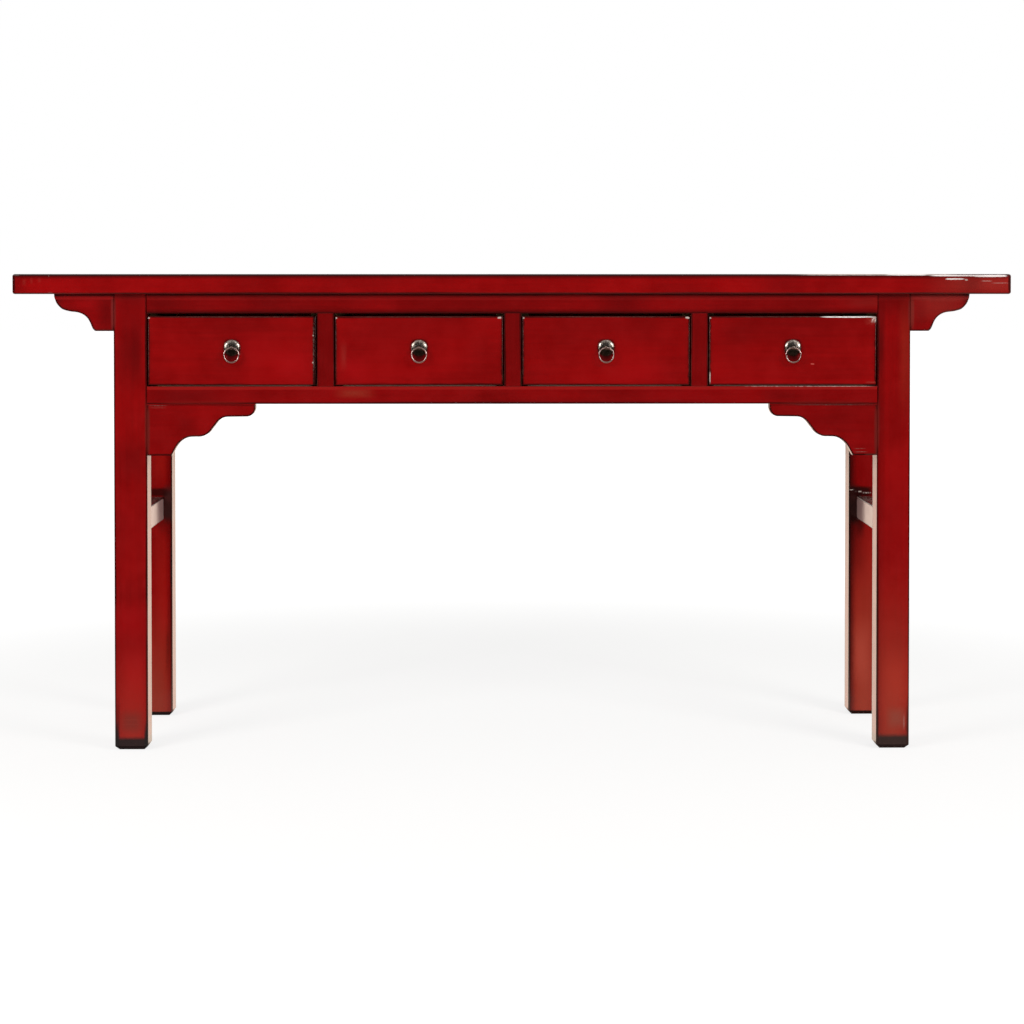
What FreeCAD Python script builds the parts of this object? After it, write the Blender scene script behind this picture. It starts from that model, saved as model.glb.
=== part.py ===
import FreeCAD, Part
import math
import os

# Altar table with four drawers, in millimetres.
# X runs along the table, the drawers face -Y, Z is up and the floor is at zero.

V = FreeCAD.Vector

# Overall sizes
top_length = 1800.0
top_depth = 400.0
table_height = 863.5
end_overhang = 178.5
top_overhang = 15.0

# Top
top_thickness = 36.0
top_round = 4.0
plank_count = 3
end_board_width = 68.0
end_tongue_length = 25.0
end_tongue_thickness = 11.0
end_tongue_inset = 22.0
edge_tongue_width = 8.0
edge_tongue_thickness = 9.0
batten_width = 44.0
batten_drop = 15.0
batten_neck_width = 24.0
batten_tail_width = 32.0
batten_tail_height = 9.0

# Legs and stretchers
leg_width = 60.0
leg_depth = 50.0
leg_round = 3.0
foot_chamfer = 7.5
leg_tenon_width = 30.0
leg_tenon_depth = 22.0
leg_tenon_height = 18.0
stretcher_level = 385.0
stretcher_height = 44.0
stretcher_round = 2.5

# Case of the drawers
rail_depth = 40.0
top_rail_height = 35.0
bottom_rail_height = 32.0
rail_tenon_length = 30.0
rail_tenon_thickness = 12.0
side_rail_thickness = 29.0
side_tenon_thickness = 11.0
tenon_wall = 2.0
panel_thickness = 8.0
panel_entry = 6.0
opening_height = 132.0
divider_width = 31.0
divider_tenon_width = 20.0
divider_tenon_length = 14.0
joint_clearance = 0.1
overrun = 5.0

# Runners, guides, kickers and stops of the drawers
bearing_width = 14.0
runner_height = 18.0
runner_tenon_thickness = 8.0
runner_tenon_length = 8.0
runner_tenon_side = 4.0
guide_height = 25.0
guide_clearance = 0.6
kicker_height = 20.0
kicker_clearance = 0.8
slide_clearance = 0.3
stop_length = 12.0
stop_width = 11.0
stop_height = 12.0
drawer_end_room = 20.0

# Drawers
drawer_count = 4
front_gap_top = 5.5
front_gap_bottom = 2.0
front_gap_side = 2.5
front_thickness = 19.0
front_round = 1.5
side_thickness = 10.0
side_drop = 2.0
back_thickness = 10.0
back_inset = 10.0
back_drop = 6.0
housing_depth = 4.0
bottom_thickness = 6.0
bottom_lift = 8.0
tail_count = 3
tail_length = 12.0
tail_narrow_share = 0.50
tail_wide_share = 0.72

# Ring pulls
pull_rise = 5.5
plate_diameter = 30.0
plate_height = 7.0
plate_rim = 0.8
plate_sheet = 1.2
plate_sides = 24
ring_diameter = 29.4
ring_wire = 3.0
ring_clearance = 0.4
ring_sides = 24
wire_sides = 8
pin_width = 2.8
pin_thickness = 1.2
pin_tip_length = 8.0

# Wing brackets under the ends of the top
wing_reach = 106.0
wing_drop = 67.0
wing_thickness = 22.0
wing_tenon_height = 36.0
wing_tenon_length = 15.0

# Spandrels in the front corners of the knee space
spandrel_reach = 196.0
spandrel_drop = 93.5
spandrel_thickness = 20.0
spandrel_tenon_height = 50.0
spandrel_tenon_length = 15.0

# What wings and spandrels share
bracket_setback = 1.0
bracket_tongue_thickness = 8.0
bracket_tongue_height = 6.0
bracket_tongue_inset = 12.0

# Outline of a wing from its tip to the leg: shares of the reach and of the drop.
wing_arc_shares = (
    ((1.0, 0.0), (0.905, 0.300), (0.720, 0.452)),
    ((0.720, 0.452), (0.480, 0.560), (0.385, 0.760)),
    ((0.385, 0.760), (0.345, 0.920), (0.270, 1.0)),
)
# Outline of a spandrel from its tip to the leg, written the same way.
spandrel_arc_shares = (
    ((0.998, 0.090), (0.978, 0.185), (0.925, 0.243)),
    ((0.745, 0.248), (0.685, 0.283), (0.638, 0.380)),
    ((0.595, 0.495), (0.548, 0.590), (0.460, 0.632)),
    ((0.400, 0.636), (0.325, 0.700), (0.268, 0.830)),
)
spandrel_heel_share = 0.225

FRONT = -1
REAR = 1
SIDES = (-1, 1)
SIDE_NAMES = {-1: "left", 1: "right"}
END_NAMES = {FRONT: "front", REAR: "rear"}

# Planes and levels that follow from the sizes
half_length = top_length / 2
half_depth = top_depth / 2
underside = table_height - top_thickness
slab_middle_z = (underside + table_height) / 2
slab_zs = (underside, table_height)
plank_end = half_length - end_board_width

leg_outer = half_length - end_overhang
leg_inner = leg_outer - leg_width
leg_middle_x = (leg_outer + leg_inner) / 2
frame_y = half_depth - top_overhang
leg_inner_y = frame_y - leg_depth
leg_middle_y = (frame_y + leg_inner_y) / 2
rail_inner_y = frame_y - rail_depth
rail_middle_y = (frame_y + rail_inner_y) / 2

opening_top = underside - top_rail_height
opening_bottom = opening_top - opening_height
case_bottom = opening_bottom - bottom_rail_height
top_rail_zs = (opening_top, underside)
bottom_rail_zs = (case_bottom, opening_bottom)
stretcher_zs = (stretcher_level, stretcher_level + stretcher_height)

tenon_shoulder = panel_entry + tenon_wall
side_tenon_length = leg_depth - (rail_depth + rail_tenon_thickness) / 2 - tenon_wall

opening_width = (2 * leg_inner - (drawer_count - 1) * divider_width) / drawer_count
opening_pitch = opening_width + divider_width
drawer_middles = [(i - (drawer_count - 1) / 2) * opening_pitch for i in range(drawer_count)]
divider_middles = [(i - (drawer_count - 2) / 2) * opening_pitch for i in range(drawer_count - 1)]

front_half = opening_width / 2 - front_gap_side
front_bottom = opening_bottom + front_gap_bottom
front_top = opening_top - front_gap_top
front_back_y = -frame_y + front_thickness
drawer_end_y = rail_inner_y - drawer_end_room
side_top = front_top - side_drop
side_height = side_top - front_bottom
floor_bottom = front_bottom + bottom_lift
floor_top = floor_bottom + bottom_thickness
back_rear_y = drawer_end_y - back_inset

runner_top = front_bottom - slide_clearance
kicker_bottom = side_top + kicker_clearance
guide_past_leg = front_gap_side - guide_clearance
side_rail_face = leg_middle_x - side_rail_thickness / 2

ring_radius = (ring_diameter - ring_wire) / 2
eye_hole_radius = ring_wire / 2 + ring_clearance
eye_radius = eye_hole_radius + pin_thickness
eye_stand = plate_height + eye_radius + joint_clearance
eye_y = -frame_y - eye_stand
pull_z = (front_bottom + front_top) / 2 + pull_rise
pin_height = 2 * pin_thickness + joint_clearance
pin_hole_radius = math.hypot(pin_width, pin_height) / 2 + joint_clearance


def around(middle, width):
    """The range of a width about its middle."""
    return (middle - width / 2, middle + width / 2)


def block(xs, ys, zs):
    """A square block; the two ends of a range may come in either order."""
    lows = [min(ends) for ends in (xs, ys, zs)]
    highs = [max(ends) for ends in (xs, ys, zs)]
    sizes = [high - low for low, high in zip(lows, highs)]
    return Part.makeBox(*sizes, V(*lows))


def grown(ranges, gap):
    """The ranges of a block with a gap added on every side."""
    return [(min(ends) - gap, max(ends) + gap) for ends in ranges]


def prism(points, along):
    """A closed outline pushed along a vector."""
    return Part.Face(Part.makePolygon(points + points[:1])).extrude(along)


def joined(body, ranges_list):
    """The body with tenons or tongues added to it."""
    for ranges in ranges_list:
        body = body.fuse(block(*ranges))
    return body.removeSplitter()


def housed(body, ranges_list):
    """The body with a slot for each piece that enters it."""
    for ranges in ranges_list:
        body = body.cut(block(*grown(ranges, joint_clearance)))
    return body


def rounded(body, radius, wanted):
    """The body with the edges that pass the test rounded."""
    return body.makeFillet(radius, [edge for edge in body.Edges if wanted(edge.BoundBox)])


# Every tenon, tongue and panel is a block of three ranges, so that the piece that carries it
# and the pieces that receive it share one set of sizes. side is -1 at the left and 1 at the
# right, end is -1 at the front and 1 at the rear.

def top_tenon(side, end):
    """Tenon on a leg's head, in the planks."""
    return (around(side * leg_middle_x, leg_tenon_width),
            around(end * leg_middle_y, leg_tenon_depth),
            (underside, underside + leg_tenon_height))


def rail_tenon(side, end, zs):
    """Tenon of a long rail in a leg."""
    return ((side * leg_inner, side * (leg_inner + rail_tenon_length)),
            around(end * rail_middle_y, rail_tenon_thickness),
            (zs[0] + tenon_shoulder, zs[1] - tenon_shoulder))


def side_tenon(side, end, zs):
    """Tenon of an end rail or a stretcher in a leg."""
    return (around(side * leg_middle_x, side_tenon_thickness),
            (end * leg_inner_y, end * (leg_inner_y + side_tenon_length)),
            (zs[0] + tenon_shoulder, zs[1] - tenon_shoulder))


def divider_tenon(middle, level, direction):
    """Tenon of an upright between two drawers, up or down into a rail."""
    return (around(middle, divider_tenon_width),
            around(-rail_middle_y, rail_tenon_thickness),
            (level, level + direction * divider_tenon_length))


def rear_panel_block():
    return (around(0, 2 * (leg_inner + panel_entry)),
            around(rail_middle_y, panel_thickness),
            (opening_bottom - panel_entry, opening_top + panel_entry))


def side_panel_block(side):
    return (around(side * leg_middle_x, panel_thickness),
            around(0, 2 * (leg_inner_y + panel_entry)),
            (opening_bottom - panel_entry, opening_top + panel_entry))


def wing_ys(end):
    outer = frame_y - bracket_setback
    return (end * outer, end * (outer - wing_thickness))


def wing_tenon(side, end):
    middle_z = underside - wing_drop / 2
    return ((side * leg_outer, side * (leg_outer - wing_tenon_length)),
            around(sum(wing_ys(end)) / 2, bracket_tongue_thickness),
            around(middle_z, wing_tenon_height))


def wing_tongue(side, end):
    return ((side * (leg_outer + bracket_tongue_inset),
             side * (leg_outer + wing_reach - bracket_tongue_inset)),
            around(sum(wing_ys(end)) / 2, bracket_tongue_thickness),
            (underside, underside + bracket_tongue_height))


def spandrel_ys():
    outer = frame_y - bracket_setback
    return (-outer, -(outer - spandrel_thickness))


def spandrel_tenon(side):
    middle_z = case_bottom - spandrel_drop / 2
    return ((side * leg_inner, side * (leg_inner + spandrel_tenon_length)),
            around(sum(spandrel_ys()) / 2, bracket_tongue_thickness),
            around(middle_z, spandrel_tenon_height))


def spandrel_tongue(side):
    return ((side * (leg_inner - bracket_tongue_inset),
             side * (leg_inner - spandrel_reach + bracket_tongue_inset)),
            around(sum(spandrel_ys()) / 2, bracket_tongue_thickness),
            (case_bottom, case_bottom + bracket_tongue_height))


# Top: planks between two end boards, held flat by battens in sliding dovetails

def top_slab():
    """The whole top with its worn edges, before it is divided into boards."""
    slab = block(around(0, top_length), around(0, top_depth), slab_zs)
    return rounded(slab, top_round, lambda box: box.ZLength < top_round)


def plank_edge(i):
    return -half_depth + i * top_depth / plank_count


def end_tongue(i, side):
    """Tongue on the end of plank i, kept back from the table's front and rear."""
    inset = half_depth - end_tongue_inset
    return ((side * plank_end, side * (plank_end + end_tongue_length)),
            (max(plank_edge(i), -inset), min(plank_edge(i + 1), inset)),
            around(slab_middle_z, end_tongue_thickness))


def edge_tongue(i):
    """Tongue on the rear edge of plank i."""
    return (around(0, 2 * plank_end),
            (plank_edge(i), plank_edge(i) + edge_tongue_width),
            around(slab_middle_z, edge_tongue_thickness))


def batten_dovetail(middle, gap):
    """The part of a batten that slides into the planks from the rear, grown by a gap."""
    neck = batten_neck_width / 2 + gap
    tail = batten_tail_width / 2 + gap
    start = -rail_inner_y - gap
    high = underside + batten_tail_height + gap
    outline = [V(middle - neck, start, underside), V(middle + neck, start, underside),
               V(middle + tail, start, high), V(middle - tail, start, high)]
    return prism(outline, V(0, half_depth - start + gap, 0))


def cross_battens():
    slab = top_slab()
    battens = []
    for middle in drawer_middles:
        body = block(around(middle, batten_width), around(0, 2 * rail_inner_y),
                     (underside - batten_drop, underside))
        dovetail = batten_dovetail(middle, 0).common(slab)
        battens.append(body.fuse(dovetail).removeSplitter())
    return battens


def planks():
    slab = top_slab()
    boards = []
    for i in range(plank_count):
        region = block(around(0, 2 * plank_end), (plank_edge(i), plank_edge(i + 1)), slab_zs)
        tongues = [end_tongue(i, side) for side in SIDES]
        slots = [top_tenon(side, end) for side in SIDES for end in (FRONT, REAR)]
        slots += [wing_tongue(side, end) for side in SIDES for end in (FRONT, REAR)]
        if i + 1 < plank_count:
            tongues.append(edge_tongue(i + 1))
        if i > 0:
            slots.append(edge_tongue(i))
        board = housed(slab.common(joined(region, tongues)), slots)
        for middle in drawer_middles:
            board = board.cut(batten_dovetail(middle, joint_clearance))
        boards.append(board)
    return boards


def top_end(side):
    region = block((side * plank_end, side * half_length), around(0, top_depth), slab_zs)
    board = top_slab().common(region)
    return housed(board, [end_tongue(i, side) for i in range(plank_count)])


# Legs, rails, stretchers, dividers and panels

def foot_form(side, end):
    """Two crossed prisms as large as a leg, with the lower corners cut away."""
    centre = V(side * leg_middle_x, end * leg_middle_y, 0)
    forms = []
    for across, along in ((V(1, 0, 0), V(0, 1, 0)), (V(0, 1, 0), V(1, 0, 0))):
        half = leg_width / 2 if across.x else leg_depth / 2
        start = centre - along * leg_width
        outline = [(half - foot_chamfer, 0), (half, foot_chamfer), (half, underside),
                   (-half, underside), (-half, foot_chamfer), (foot_chamfer - half, 0)]
        points = [start + across * u + V(0, 0, z) for u, z in outline]
        forms.append(prism(points, along * (2 * leg_width)))
    return forms[0].common(forms[1])


def leg(side, end):
    post = block((side * leg_inner, side * leg_outer), (end * leg_inner_y, end * frame_y), (0, underside))
    post = rounded(post, leg_round, lambda box: box.ZLength > leg_width)
    post = post.common(foot_form(side, end))
    entering = [rail_tenon(side, end, zs) for zs in (top_rail_zs, bottom_rail_zs)]
    entering += [side_tenon(side, end, zs) for zs in (top_rail_zs, bottom_rail_zs, stretcher_zs)]
    entering += [wing_tenon(side, end), side_panel_block(side)]
    entering.append(spandrel_tenon(side) if end == FRONT else rear_panel_block())
    return housed(joined(post, [top_tenon(side, end)]), entering)


def long_rail(end, zs):
    body = block(around(0, 2 * leg_inner), (end * rail_inner_y, end * frame_y), zs)
    return joined(body, [rail_tenon(side, end, zs) for side in SIDES])


def runner_tenon(xs, end):
    """Stub tenon of a runner in a bottom rail."""
    return ((min(xs) + runner_tenon_side, max(xs) - runner_tenon_side),
            (end * rail_inner_y, end * (rail_inner_y + runner_tenon_length)),
            around((case_bottom + opening_bottom) / 2 + tenon_wall, runner_tenon_thickness))


def kicker_tenon(xs, end):
    """Stub tenon of a kicker in a top rail."""
    low = opening_top + runner_tenon_side
    return ((min(xs) + runner_tenon_side, max(xs) - runner_tenon_side),
            (end * rail_inner_y, end * (rail_inner_y + runner_tenon_length)),
            (low, low + runner_tenon_thickness))


def bearing_ranges():
    """The X range of each runner and kicker: one under each divider and one at each end."""
    wide = divider_width + 2 * bearing_width
    ranges = [around(middle, wide) for middle in divider_middles]
    return ranges + [(side * (leg_inner - bearing_width), side * leg_inner) for side in SIDES]


def front_top_rail():
    slots = [divider_tenon(middle, opening_top, 1) for middle in divider_middles]
    slots += [kicker_tenon(xs, FRONT) for xs in bearing_ranges()]
    return housed(long_rail(FRONT, top_rail_zs), slots)


def front_bottom_rail():
    slots = [divider_tenon(middle, opening_bottom, -1) for middle in divider_middles]
    slots += [runner_tenon(xs, FRONT) for xs in bearing_ranges()]
    slots += [spandrel_tongue(side) for side in SIDES]
    return housed(long_rail(FRONT, bottom_rail_zs), slots)


def rear_top_rail():
    slots = [kicker_tenon(xs, REAR) for xs in bearing_ranges()]
    return housed(long_rail(REAR, top_rail_zs), slots + [rear_panel_block()])


def rear_bottom_rail():
    slots = [runner_tenon(xs, REAR) for xs in bearing_ranges()]
    return housed(long_rail(REAR, bottom_rail_zs), slots + [rear_panel_block()])


def side_rail(side, zs):
    body = block(around(side * leg_middle_x, side_rail_thickness), around(0, 2 * leg_inner_y), zs)
    body = joined(body, [side_tenon(side, end, zs) for end in (FRONT, REAR)])
    return housed(body, [side_panel_block(side)])


def side_stretcher(side):
    body = block(around(side * leg_middle_x, side_rail_thickness), around(0, 2 * leg_inner_y), stretcher_zs)
    body = rounded(body, stretcher_round, lambda box: box.YLength > leg_inner_y)
    return joined(body, [side_tenon(side, end, stretcher_zs) for end in (FRONT, REAR)])


def divider(middle):
    body = block(around(middle, divider_width), (-frame_y, -rail_inner_y), (opening_bottom, opening_top))
    return joined(body, [divider_tenon(middle, opening_top, 1), divider_tenon(middle, opening_bottom, -1)])


# Runners, guides, kickers and stops

def bearer(xs, zs, tenon):
    """A strip from the front rail to the rear rail; beside a leg it is notched round the leg."""
    body = joined(block(xs, around(0, 2 * rail_inner_y), zs), [tenon(xs, end) for end in (FRONT, REAR)])
    for side in SIDES:
        if side * leg_inner in xs:
            outer = block((side * leg_inner, side * side_rail_face), around(0, 2 * leg_inner_y), zs)
            body = body.fuse(outer).removeSplitter()
    return body


def runners():
    zs = (runner_top - runner_height, runner_top)
    return [bearer(xs, zs, runner_tenon) for xs in bearing_ranges()]


def kickers():
    zs = (kicker_bottom, kicker_bottom + kicker_height)
    return [bearer(xs, zs, kicker_tenon) for xs in bearing_ranges()]


def guides():
    zs = (runner_top, runner_top + guide_height)
    wide = divider_width + 2 * guide_past_leg
    strips = [block(around(middle, wide), around(0, 2 * rail_inner_y), zs) for middle in divider_middles]
    for side in SIDES:
        xs = (side * (leg_inner - guide_past_leg), side * side_rail_face)
        strips.append(block(xs, around(0, 2 * leg_inner_y), zs))
    return strips


def stops():
    """Two blocks behind each drawer, on the runners, that its sides come to rest against."""
    start = drawer_end_y + slide_clearance
    blocks = []
    for middle in drawer_middles:
        for side in SIDES:
            outer = middle + side * (front_half + guide_clearance)
            blocks.append(block((outer, outer - side * stop_width), (start, start + stop_length),
                                (runner_top, runner_top + stop_height)))
    return blocks


# Brackets

def share_point(share, root_x, direction, reach, top_z, drop, y):
    """A point of a bracket's outline from its shares of the reach and of the drop."""
    return V(root_x + direction * share[0] * reach, y, top_z - share[1] * drop)


def outline_plate(points_and_arcs, thickness_ys):
    """A plate whose outline runs through single points and three-point arcs in turn."""
    edges = []
    last = points_and_arcs[-1][-1]
    for item in points_and_arcs:
        if (item[0] - last).Length > joint_clearance:
            edges.append(Part.makeLine(last, item[0]))
        if len(item) == 3:
            edges.append(Part.Arc(*item).toShape())
        last = item[-1]
    face = Part.Face(Part.Wire(edges))
    return face.extrude(V(0, thickness_ys[1] - thickness_ys[0], 0))


def wing(side, end):
    """Ogee bracket between a leg and the overhanging end of the top."""
    ys = wing_ys(end)
    root_x = side * leg_outer

    def at(share):
        return share_point(share, root_x, side, wing_reach, underside, wing_drop, ys[0])

    outline = [[at(share) for share in arc] for arc in wing_arc_shares]
    outline += [[at((0, 1))], [at((0, 0))]]
    return joined(outline_plate(outline, ys), [wing_tenon(side, end), wing_tongue(side, end)])


def spandrel(side):
    """Stepped bracket in the corner between a front leg and the bottom rail."""
    ys = spandrel_ys()
    root_x = side * leg_inner

    def at(share):
        return share_point(share, root_x, -side, spandrel_reach, case_bottom, spandrel_drop, ys[0])

    outline = [[at((spandrel_arc_shares[0][0][0], 0))]]
    outline += [[at(share) for share in arc] for arc in spandrel_arc_shares]
    outline += [[at((spandrel_heel_share, 1))], [at((0, 1))], [at((0, 0))]]
    return joined(outline_plate(outline, ys), [spandrel_tenon(side), spandrel_tongue(side)])


# Drawers: dovetailed sides, a back in housings and a bottom in grooves

def tails(middle, side, gap):
    """The dovetails on the front end of a drawer side, grown by a gap."""
    pitch = side_height / tail_count
    outer = middle + side * front_half
    end_y = front_back_y - tail_length - gap
    base_y = front_back_y + gap
    shapes = []
    for i in range(tail_count):
        z = front_bottom + (i + 1 / 2) * pitch
        narrow = pitch * tail_narrow_share / 2 + gap
        wide = pitch * tail_wide_share / 2 + gap
        start = outer + side * gap
        outline = [V(start, base_y, z - narrow), V(start, base_y, z + narrow),
                   V(start, end_y, z + wide), V(start, end_y, z - wide)]
        shapes.append(prism(outline, V(-side * (side_thickness + 2 * gap), 0, 0)))
    return shapes


def drawer_floor(middle):
    """The bottom board, which passes under the back and enters the front and both sides."""
    return (around(middle, 2 * (front_half - side_thickness + housing_depth)),
            (front_back_y - housing_depth, back_rear_y),
            (floor_bottom, floor_top))


def drawer_back(middle):
    return (around(middle, 2 * (front_half - side_thickness + housing_depth)),
            (back_rear_y - back_thickness, back_rear_y),
            (floor_top, side_top - back_drop))


def drawer_front(middle):
    board = block(around(middle, 2 * front_half), (-frame_y, front_back_y), (front_bottom, front_top))
    board = rounded(board, front_round, lambda box: box.YMax < front_back_y - front_round)
    for side in SIDES:
        for tail in tails(middle, side, joint_clearance):
            board = board.cut(tail)
    hole = Part.makeCylinder(pin_hole_radius, front_thickness + 2 * overrun,
                             V(middle, -frame_y - overrun, pull_z), V(0, 1, 0))
    return housed(board, [drawer_floor(middle)]).cut(hole)


def drawer_sides(middle):
    boards = []
    for side in SIDES:
        xs = (middle + side * front_half, middle + side * (front_half - side_thickness))
        board = block(xs, (front_back_y, drawer_end_y), (front_bottom, side_top))
        for tail in tails(middle, side, 0):
            board = board.fuse(tail)
        boards.append(housed(board.removeSplitter(), [drawer_floor(middle), drawer_back(middle)]))
    return boards


# Ring pulls: a domed plate, a split pin through the drawer front, and a ring in its eye

def turned(profile, sides, centre):
    """A closed profile of (radius, depth) points turned about an axis along Y in flat steps."""
    loops = []
    for step in range(sides):
        angle = 2 * math.pi * step / sides
        loops.append([centre + V(r * math.cos(angle), y, r * math.sin(angle)) for r, y in profile])
    faces = []
    for step in range(sides):
        near, far = loops[step - 1], loops[step]
        for i in range(len(profile)):
            corners = [near[i - 1], near[i], far[i], far[i - 1]]
            faces.append(Part.Face(Part.makePolygon(corners + corners[:1])))
    return Part.Solid(Part.Shell(faces))


def dome_points(radius, height, steps):
    """Points of a quarter ellipse from beside the pin's hole out to the rim."""
    start = math.asin(pin_hole_radius / radius)
    angles = [start + (math.pi / 2 - start) * i / steps for i in range(steps + 1)]
    return [(radius * math.sin(angle), -plate_rim - height * math.cos(angle)) for angle in angles]


def pull_plate(middle):
    """Pressed dome with a short straight rim, pierced for the pin."""
    radius = plate_diameter / 2
    rise = plate_height - plate_rim
    outside = dome_points(radius, rise, 4)
    inside = dome_points(radius - plate_sheet, rise - plate_sheet, 2)
    profile = outside + [(radius, 0), (radius - plate_sheet, 0)] + inside[::-1]
    return turned(profile, plate_sides, V(middle, -frame_y, pull_z))


def pull_pin(middle):
    """Split pin: a strip bent into an eye, both legs through the front and turned over inside."""
    xs = around(middle, pin_width)
    inner_face = front_back_y
    eye_centre = V(xs[0], eye_y, pull_z)
    along = V(1, 0, 0)
    eye = Part.makeCylinder(eye_radius, pin_width, eye_centre, along)
    shank = block(xs, (eye_y, inner_face + pin_thickness), around(pull_z, pin_height))
    tip = pin_height / 2 + pin_tip_length
    tips = block(xs, (inner_face, inner_face + pin_thickness), around(pull_z, 2 * tip))
    pin = eye.fuse(shank).fuse(tips).removeSplitter()
    pin = pin.cut(Part.makeCylinder(eye_hole_radius, pin_width, eye_centre, along))
    slot = (xs, (eye_y, inner_face + pin_thickness), around(pull_z, joint_clearance))
    return pin.cut(block(*slot))


def pull_ring(middle):
    """Round wire ring that hangs with its top in the middle of the eye."""
    radius = ring_wire / 2
    angles = [2 * math.pi * i / wire_sides for i in range(wire_sides)]
    profile = [(ring_radius + radius * math.cos(angle), radius * math.sin(angle)) for angle in angles]
    return turned(profile, ring_sides, V(middle, eye_y, pull_z - ring_radius))


# All nodes by name

nodes = {
    "top_planks": planks(),
    "top_cross_battens": cross_battens(),
    "front_top_rail": [front_top_rail()],
    "front_bottom_rail": [front_bottom_rail()],
    "rear_top_rail": [rear_top_rail()],
    "rear_bottom_rail": [rear_bottom_rail()],
    "drawer_dividers": [divider(middle) for middle in divider_middles],
    "rear_panel": [block(*rear_panel_block())],
    "drawer_runners": runners(),
    "drawer_guides": guides(),
    "drawer_kickers": kickers(),
    "drawer_stops": stops(),
}

for side in SIDES:
    name = SIDE_NAMES[side]
    nodes["top_end_" + name] = [top_end(side)]
    nodes["side_top_rail_" + name] = [side_rail(side, top_rail_zs)]
    nodes["side_bottom_rail_" + name] = [side_rail(side, bottom_rail_zs)]
    nodes["side_stretcher_" + name] = [side_stretcher(side)]
    nodes["side_panel_" + name] = [block(*side_panel_block(side))]
    nodes["lower_spandrel_" + name] = [spandrel(side)]
    for end in (FRONT, REAR):
        nodes["leg_" + END_NAMES[end] + "_" + name] = [leg(side, end)]
        nodes["wing_bracket_" + END_NAMES[end] + "_" + name] = [wing(side, end)]

for number, middle in enumerate(drawer_middles, start=1):
    drawer = "drawer_" + str(number)
    nodes[drawer + "_front"] = [drawer_front(middle)]
    nodes[drawer + "_sides"] = drawer_sides(middle)
    nodes[drawer + "_back"] = [block(*drawer_back(middle))]
    nodes[drawer + "_bottom"] = [block(*drawer_floor(middle))]
    nodes[drawer + "_pull_plate"] = [pull_plate(middle)]
    nodes[drawer + "_pull_pin"] = [pull_pin(middle)]
    nodes[drawer + "_pull_ring"] = [pull_ring(middle)]

os.makedirs("parts", exist_ok=True)
for name, solids in nodes.items():
    shape = solids[0] if len(solids) == 1 else Part.makeCompound(solids)
    shape.exportStep("parts/" + name + ".step")
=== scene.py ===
import bpy
import bmesh
import math
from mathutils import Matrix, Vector
from mathutils.geometry import interpolate_bezier


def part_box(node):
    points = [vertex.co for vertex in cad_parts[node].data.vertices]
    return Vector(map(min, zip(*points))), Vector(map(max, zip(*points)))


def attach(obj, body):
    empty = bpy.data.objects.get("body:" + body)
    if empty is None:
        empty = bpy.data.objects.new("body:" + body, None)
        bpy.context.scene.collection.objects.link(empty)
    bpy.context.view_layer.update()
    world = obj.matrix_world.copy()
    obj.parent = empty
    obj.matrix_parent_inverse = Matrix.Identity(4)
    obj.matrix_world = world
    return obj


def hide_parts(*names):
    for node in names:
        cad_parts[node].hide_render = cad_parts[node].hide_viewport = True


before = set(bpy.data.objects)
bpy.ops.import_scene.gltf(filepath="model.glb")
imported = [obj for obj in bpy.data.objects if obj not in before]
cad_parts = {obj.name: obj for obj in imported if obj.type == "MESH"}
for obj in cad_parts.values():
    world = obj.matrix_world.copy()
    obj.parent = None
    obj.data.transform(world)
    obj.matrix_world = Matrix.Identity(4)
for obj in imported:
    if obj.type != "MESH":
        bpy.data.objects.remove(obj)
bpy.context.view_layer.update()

# Lengths are in metres, X along the table, the drawers towards -Y, Z up.
MM = 0.001
DRAWERS = ("drawer_1", "drawer_2", "drawer_3", "drawer_4")

# Sizes of the solids that the marks, wings and floor refer to, in millimetres
LEG_MIDDLE_X = 691.5
LEG_MIDDLE_Y = 160.0
LEG_WIDTH = 60.0
LEG_DEPTH = 50.0
DRAWER_PITCH = 338.5

# The picture that the camera matches
PICTURE_SIDE = 1024
FOCAL_PIXELS = 2270.4
AXIS_ROW = 323.375
SENSOR = 36.0
CAMERA_PLACE = (-0.04173, -4.2933, 0.8632)
CAMERA_DOWN = math.radians(1.240)
CAMERA_TURN = math.radians(-0.565)


# Small helpers for shader trees

def tone(red, green, blue):
    """A display colour of 0 to 255 as the linear colour that a shader takes."""
    linear = []
    for value in (red, green, blue):
        share = value / 255
        linear.append(share / 12.92 if share < 0.04045 else ((share + 0.055) / 1.055) ** 2.4)
    return (*linear, 1.0)


def feed(tree, socket, value):
    """Links a socket to another's output, or sets it to a plain value."""
    if isinstance(value, bpy.types.NodeSocket):
        tree.links.new(value, socket)
    else:
        socket.default_value = value


def add(tree, kind, sockets=(), **settings):
    """A shader node with its settings, and its sockets fed by name or number."""
    node = tree.nodes.new("ShaderNode" + kind)
    for name, value in settings.items():
        setattr(node, name, value)
    for name, value in dict(sockets).items():
        feed(tree, node.inputs[name], value)
    return node


def calc(tree, operation, first, second=0.0, third=0.0):
    """One step of arithmetic."""
    return add(tree, "Math", {0: first, 1: second, 2: third}, operation=operation).outputs[0]


def vector_calc(tree, operation, first, second=(0, 0, 0), third=(0, 0, 0)):
    """One step of arithmetic on vectors."""
    return add(tree, "VectorMath", {0: first, 1: second, 2: third}, operation=operation).outputs[0]


def vector_number(tree, operation, first, second=(0, 0, 0)):
    """A number worked out from vectors, such as a length."""
    return add(tree, "VectorMath", {0: first, 1: second}, operation=operation).outputs["Value"]


def parts(tree, vector):
    """The X, Y and Z of a vector."""
    return add(tree, "SeparateXYZ", {0: vector}).outputs


def weighed(tree, share, low, high):
    """low where the share is 0 and high where it is 1."""
    return calc(tree, "MULTIPLY_ADD", share, calc(tree, "SUBTRACT", high, low), low)


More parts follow.
